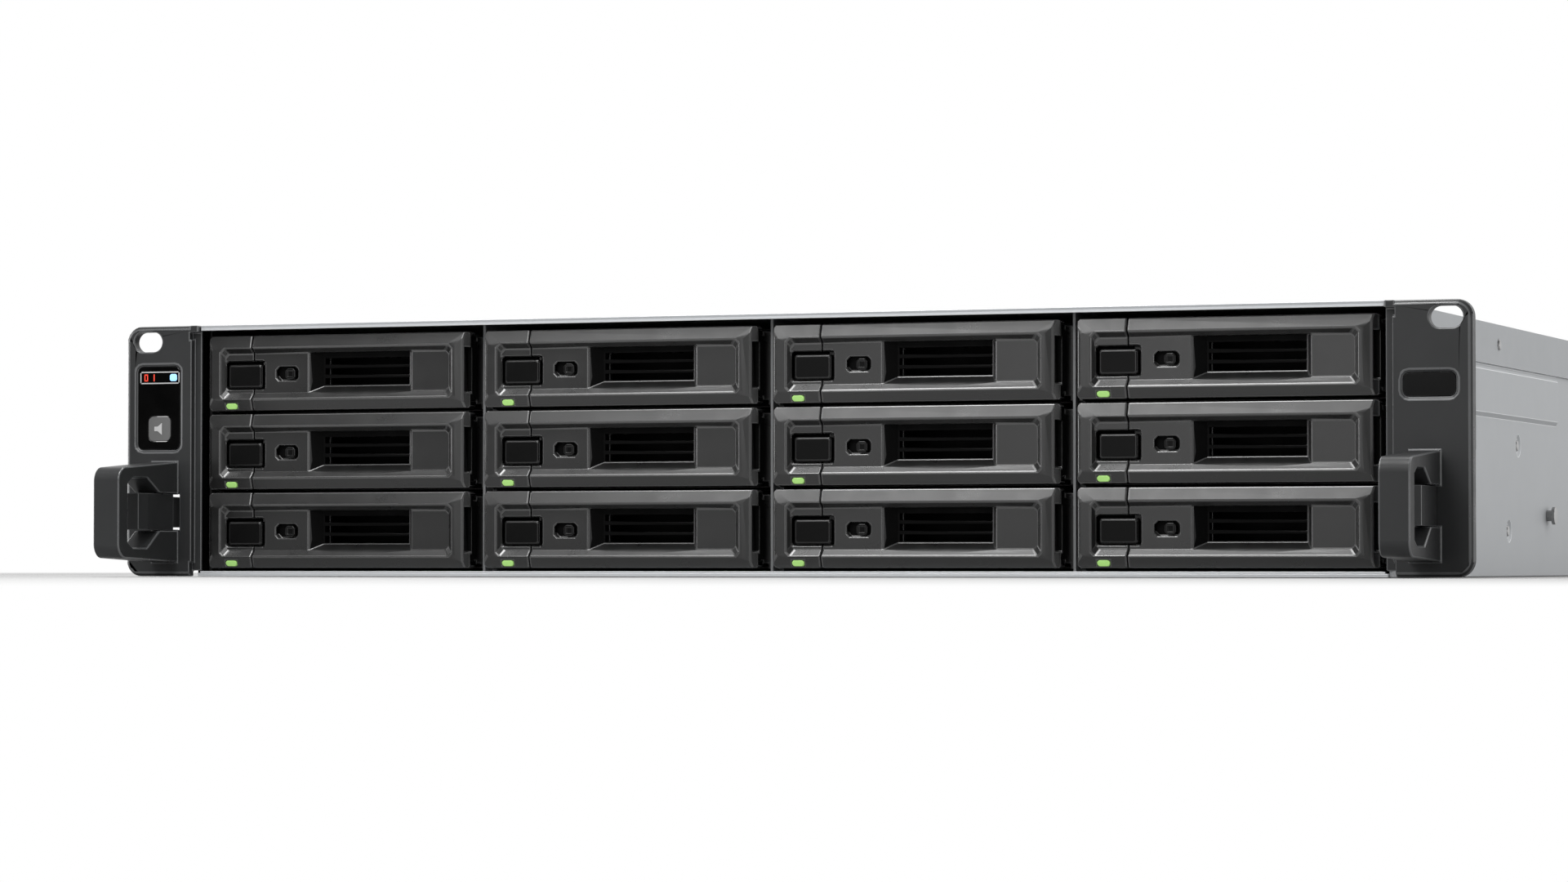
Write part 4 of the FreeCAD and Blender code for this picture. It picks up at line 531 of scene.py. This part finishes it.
def build_shell():
    """Sheet metal, boards, fans, screws and the rear modules."""
    low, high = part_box("chassis_base")
    # faces in the base's left half, away from its outer side, get painted shade unless they face up
    # or left
    inside = (Vector((low.x + INNER_FACE, low.y, low.z)), Vector((0, high.y, high.z)))
    base = piece_of("base_sheets", shells("chassis_base"), "shell", "chassis", SHEET_ROUND, 2,
                    inside)
    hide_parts("chassis_base")
    dress_node("top_cover", "cover")
    dividers, side_sheets = [], []
    for mesh in shells("drive_cage"):
        (side_sheets if abs(extent(mesh)[0].x) > SIDE_START else dividers).append(mesh)
    for name, meshes, look in (("dividers", dividers, "cage"),
                               ("side_runners", side_sheets, "fan")):
        piece = piece_of(name, meshes, look, "chassis", SHEET_ROUND, 2)
        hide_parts("drive_cage")
    boards, connectors = [], []
    for mesh in shells("backplane"):
        (connectors if width_of(mesh) < BOARD_LEAST else boards).append(mesh)
    for name, meshes, look in (("boards", boards, "board"),
                               ("connectors", connectors, "connector")):
        piece = piece_of(name, meshes, look, "chassis")
        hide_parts("backplane")
    dress_node("fan_wall", "fan")
    for number in "1234":
        dress_node("fan_rotor_" + number, "fan")
    dress_node("screws", "screw", SCREW_ROUND)
    for number in "12":
        dress_node("power_supply_" + number, "zinc")
        dress_node("psu_release_" + number, "release")
        dress_node("io_module_" + number, "zinc")
        dress_node("io_lever_" + number, "tray")


# ---------------------------------------------------------------- floor, world and lights
FLOOR_SIZE = 40.0
FLOOR_DROP = 0.2 * MM
# the floor's grey near the shelf is lit by the lamps and holds the real shadow, and is also a
# painted shadow halo until it fades to white
FLOOR_PAINTED_SHADOW_GREY = (0.3, 0.3, 0.3, 1)
FLOOR_FADE = (0.40, 1.0)
WHITE = (1, 1, 1, 1)
WORLD_FILL = 1.25
ROOM_GLOSS = 0.12
ROOM_DEPTH = (-0.2, 0.8)
FRONT = (0, -0.32, 0.05)
MIDDLE = (0, 0, 0.044)
RIGHT = (0.21, 0, 0.044)
# name, place, aim, size and brightness of each lamp
LIGHTS = (
    ("overhead_left", (-0.50, -0.64, 0.90), (-0.42, -0.32, 0.05), (0.25, 0.4), 2.6),
    ("overhead_middle", (-0.25, -0.64, 0.90), (-0.17, -0.32, 0.05), (0.25, 0.4), 13.3),
    ("overhead_right", (0.00, -0.64, 0.90), (0.08, -0.32, 0.05), (0.25, 0.4), 10.5),
    ("overhead_back", (-0.05, 0.06, 0.95), FRONT, (0.6, 0.3), 5.0),
    ("front_high", (-0.20, -1.23, 0.63), FRONT, (0.64, 0.3), 6.0),
    ("front_low", (-0.14, -1.40, 0.18), FRONT, (0.5, 0.18), 1.7),
    ("left_front", (-1.75, -0.50, 0.30), FRONT, (0.4, 1.0), 5.0),
    ("left_strip", (-1.83, 0.74, 0.39), MIDDLE, (0.6, 1.2), 3.0),
    ("right_low", (1.78, -0.28, 0.21), RIGHT, (1.0, 0.3), 2.6),
    ("right_back", (1.57, 1.23, 0.97), MIDDLE, (1.0, 1.2), 0.9),
)


def seen_directly(tree):
    """A factor of 1 for camera, glossy and transmission rays, else 0."""
    path = tree.nodes.new("ShaderNodeLightPath")
    factor = path.outputs["Is Camera Ray"]
    for ray in ("Is Glossy Ray", "Is Transmission Ray"):
        either = tree.nodes.new("ShaderNodeMath")
        either.operation = "MAXIMUM"
        tree.links.new(factor, either.inputs[0])
        tree.links.new(path.outputs[ray], either.inputs[1])
        factor = either.outputs[0]
    return factor


def add_world():
    """White where it is seen, a soft fill, and for gloss a room dimmer in front of the shelf."""
    world = bpy.data.worlds.new("surround")
    bpy.context.scene.world = world
    world.use_nodes = True
    tree = world.node_tree
    background = tree.nodes["Background"]
    background.inputs["Color"].default_value = WHITE
    path = tree.nodes.new("ShaderNodeLightPath")
    place = tree.nodes.new("ShaderNodeTexCoord")
    apart = tree.nodes.new("ShaderNodeSeparateXYZ")
    tree.links.new(place.outputs["Generated"], apart.inputs[0])
    room = remap(tree, apart.outputs["Y"], ROOM_DEPTH, (ROOM_GLOSS, 1.0), "SMOOTHSTEP")
    level = WORLD_FILL
    for ray, seen in (("Is Glossy Ray", room), ("Is Transmission Ray", 1.0),
                      ("Is Camera Ray", 1.0)):
        blend = tree.nodes.new("ShaderNodeMix")
        for socket, value in (("A", level), ("B", seen)):
            if isinstance(value, float):
                blend.inputs[socket].default_value = value
            else:
                tree.links.new(value, blend.inputs[socket])
        tree.links.new(path.outputs[ray], blend.inputs["Factor"])
        level = blend.outputs["Result"]
    tree.links.new(level, background.inputs["Strength"])


def add_floor():
    """A grey floor that keeps the shelf's real shadow and spreads a painted shadow round it, fading
    to white further out.
    """
    mesh = bmesh.new()
    bmesh.ops.create_grid(mesh, x_segments=8, y_segments=8, size=FLOOR_SIZE / 2)
    data = bpy.data.meshes.new("floor")
    mesh.to_mesh(data)
    mesh.free()
    floor = bpy.data.objects.new("floor", data)
    floor.location.z = -FLOOR_DROP
    bpy.context.scene.collection.objects.link(floor)
    material = bpy.data.materials.new("pale_floor")
    material.use_nodes = True
    tree = material.node_tree
    shader = tree.nodes["Principled BSDF"]
    shader.inputs["Base Color"].default_value = FLOOR_PAINTED_SHADOW_GREY
    shader.inputs["Roughness"].default_value = 0.9
    shader.inputs["Specular IOR Level"].default_value = 0.0
    white = tree.nodes.new("ShaderNodeEmission")
    place = tree.nodes.new("ShaderNodeTexCoord")
    reach = tree.nodes.new("ShaderNodeVectorMath")
    reach.operation = "LENGTH"
    tree.links.new(place.outputs["Object"], reach.inputs[0])
    fade = remap(tree, reach.outputs["Value"], FLOOR_FADE, (0.0, 1.0), "SMOOTHSTEP")
    share = tree.nodes.new("ShaderNodeMath")
    share.operation = "MULTIPLY"
    tree.links.new(fade, share.inputs[0])
    tree.links.new(seen_directly(tree), share.inputs[1])
    mix = tree.nodes.new("ShaderNodeMixShader")
    tree.links.new(share.outputs[0], mix.inputs["Fac"])
    tree.links.new(shader.outputs["BSDF"], mix.inputs[1])
    tree.links.new(white.outputs["Emission"], mix.inputs[2])
    tree.links.new(mix.outputs["Shader"], tree.nodes["Material Output"].inputs["Surface"])
    data.materials.append(material)


def add_light(name, place, aim, size, glow):
    """A soft rectangular lamp of even brightness glow, aimed at a point of the shelf."""
    data = bpy.data.lights.new(name, "AREA")
    data.shape = "RECTANGLE"
    data.size, data.size_y = size
    data.energy = glow * math.pi * size[0] * size[1]
    light = bpy.data.objects.new(name, data)
    light.location = place
    light.rotation_euler = (Vector(place) - Vector(aim)).to_track_quat("Z", "Y").to_euler()
    light.visible_camera = False
    bpy.context.scene.collection.objects.link(light)


add_camera()
build_trays()
build_ears()
build_marks()
build_shell()
add_world()
add_floor()
for light in LIGHTS:
    add_light(*light)

bpy.context.scene.view_settings.view_transform = "Standard"
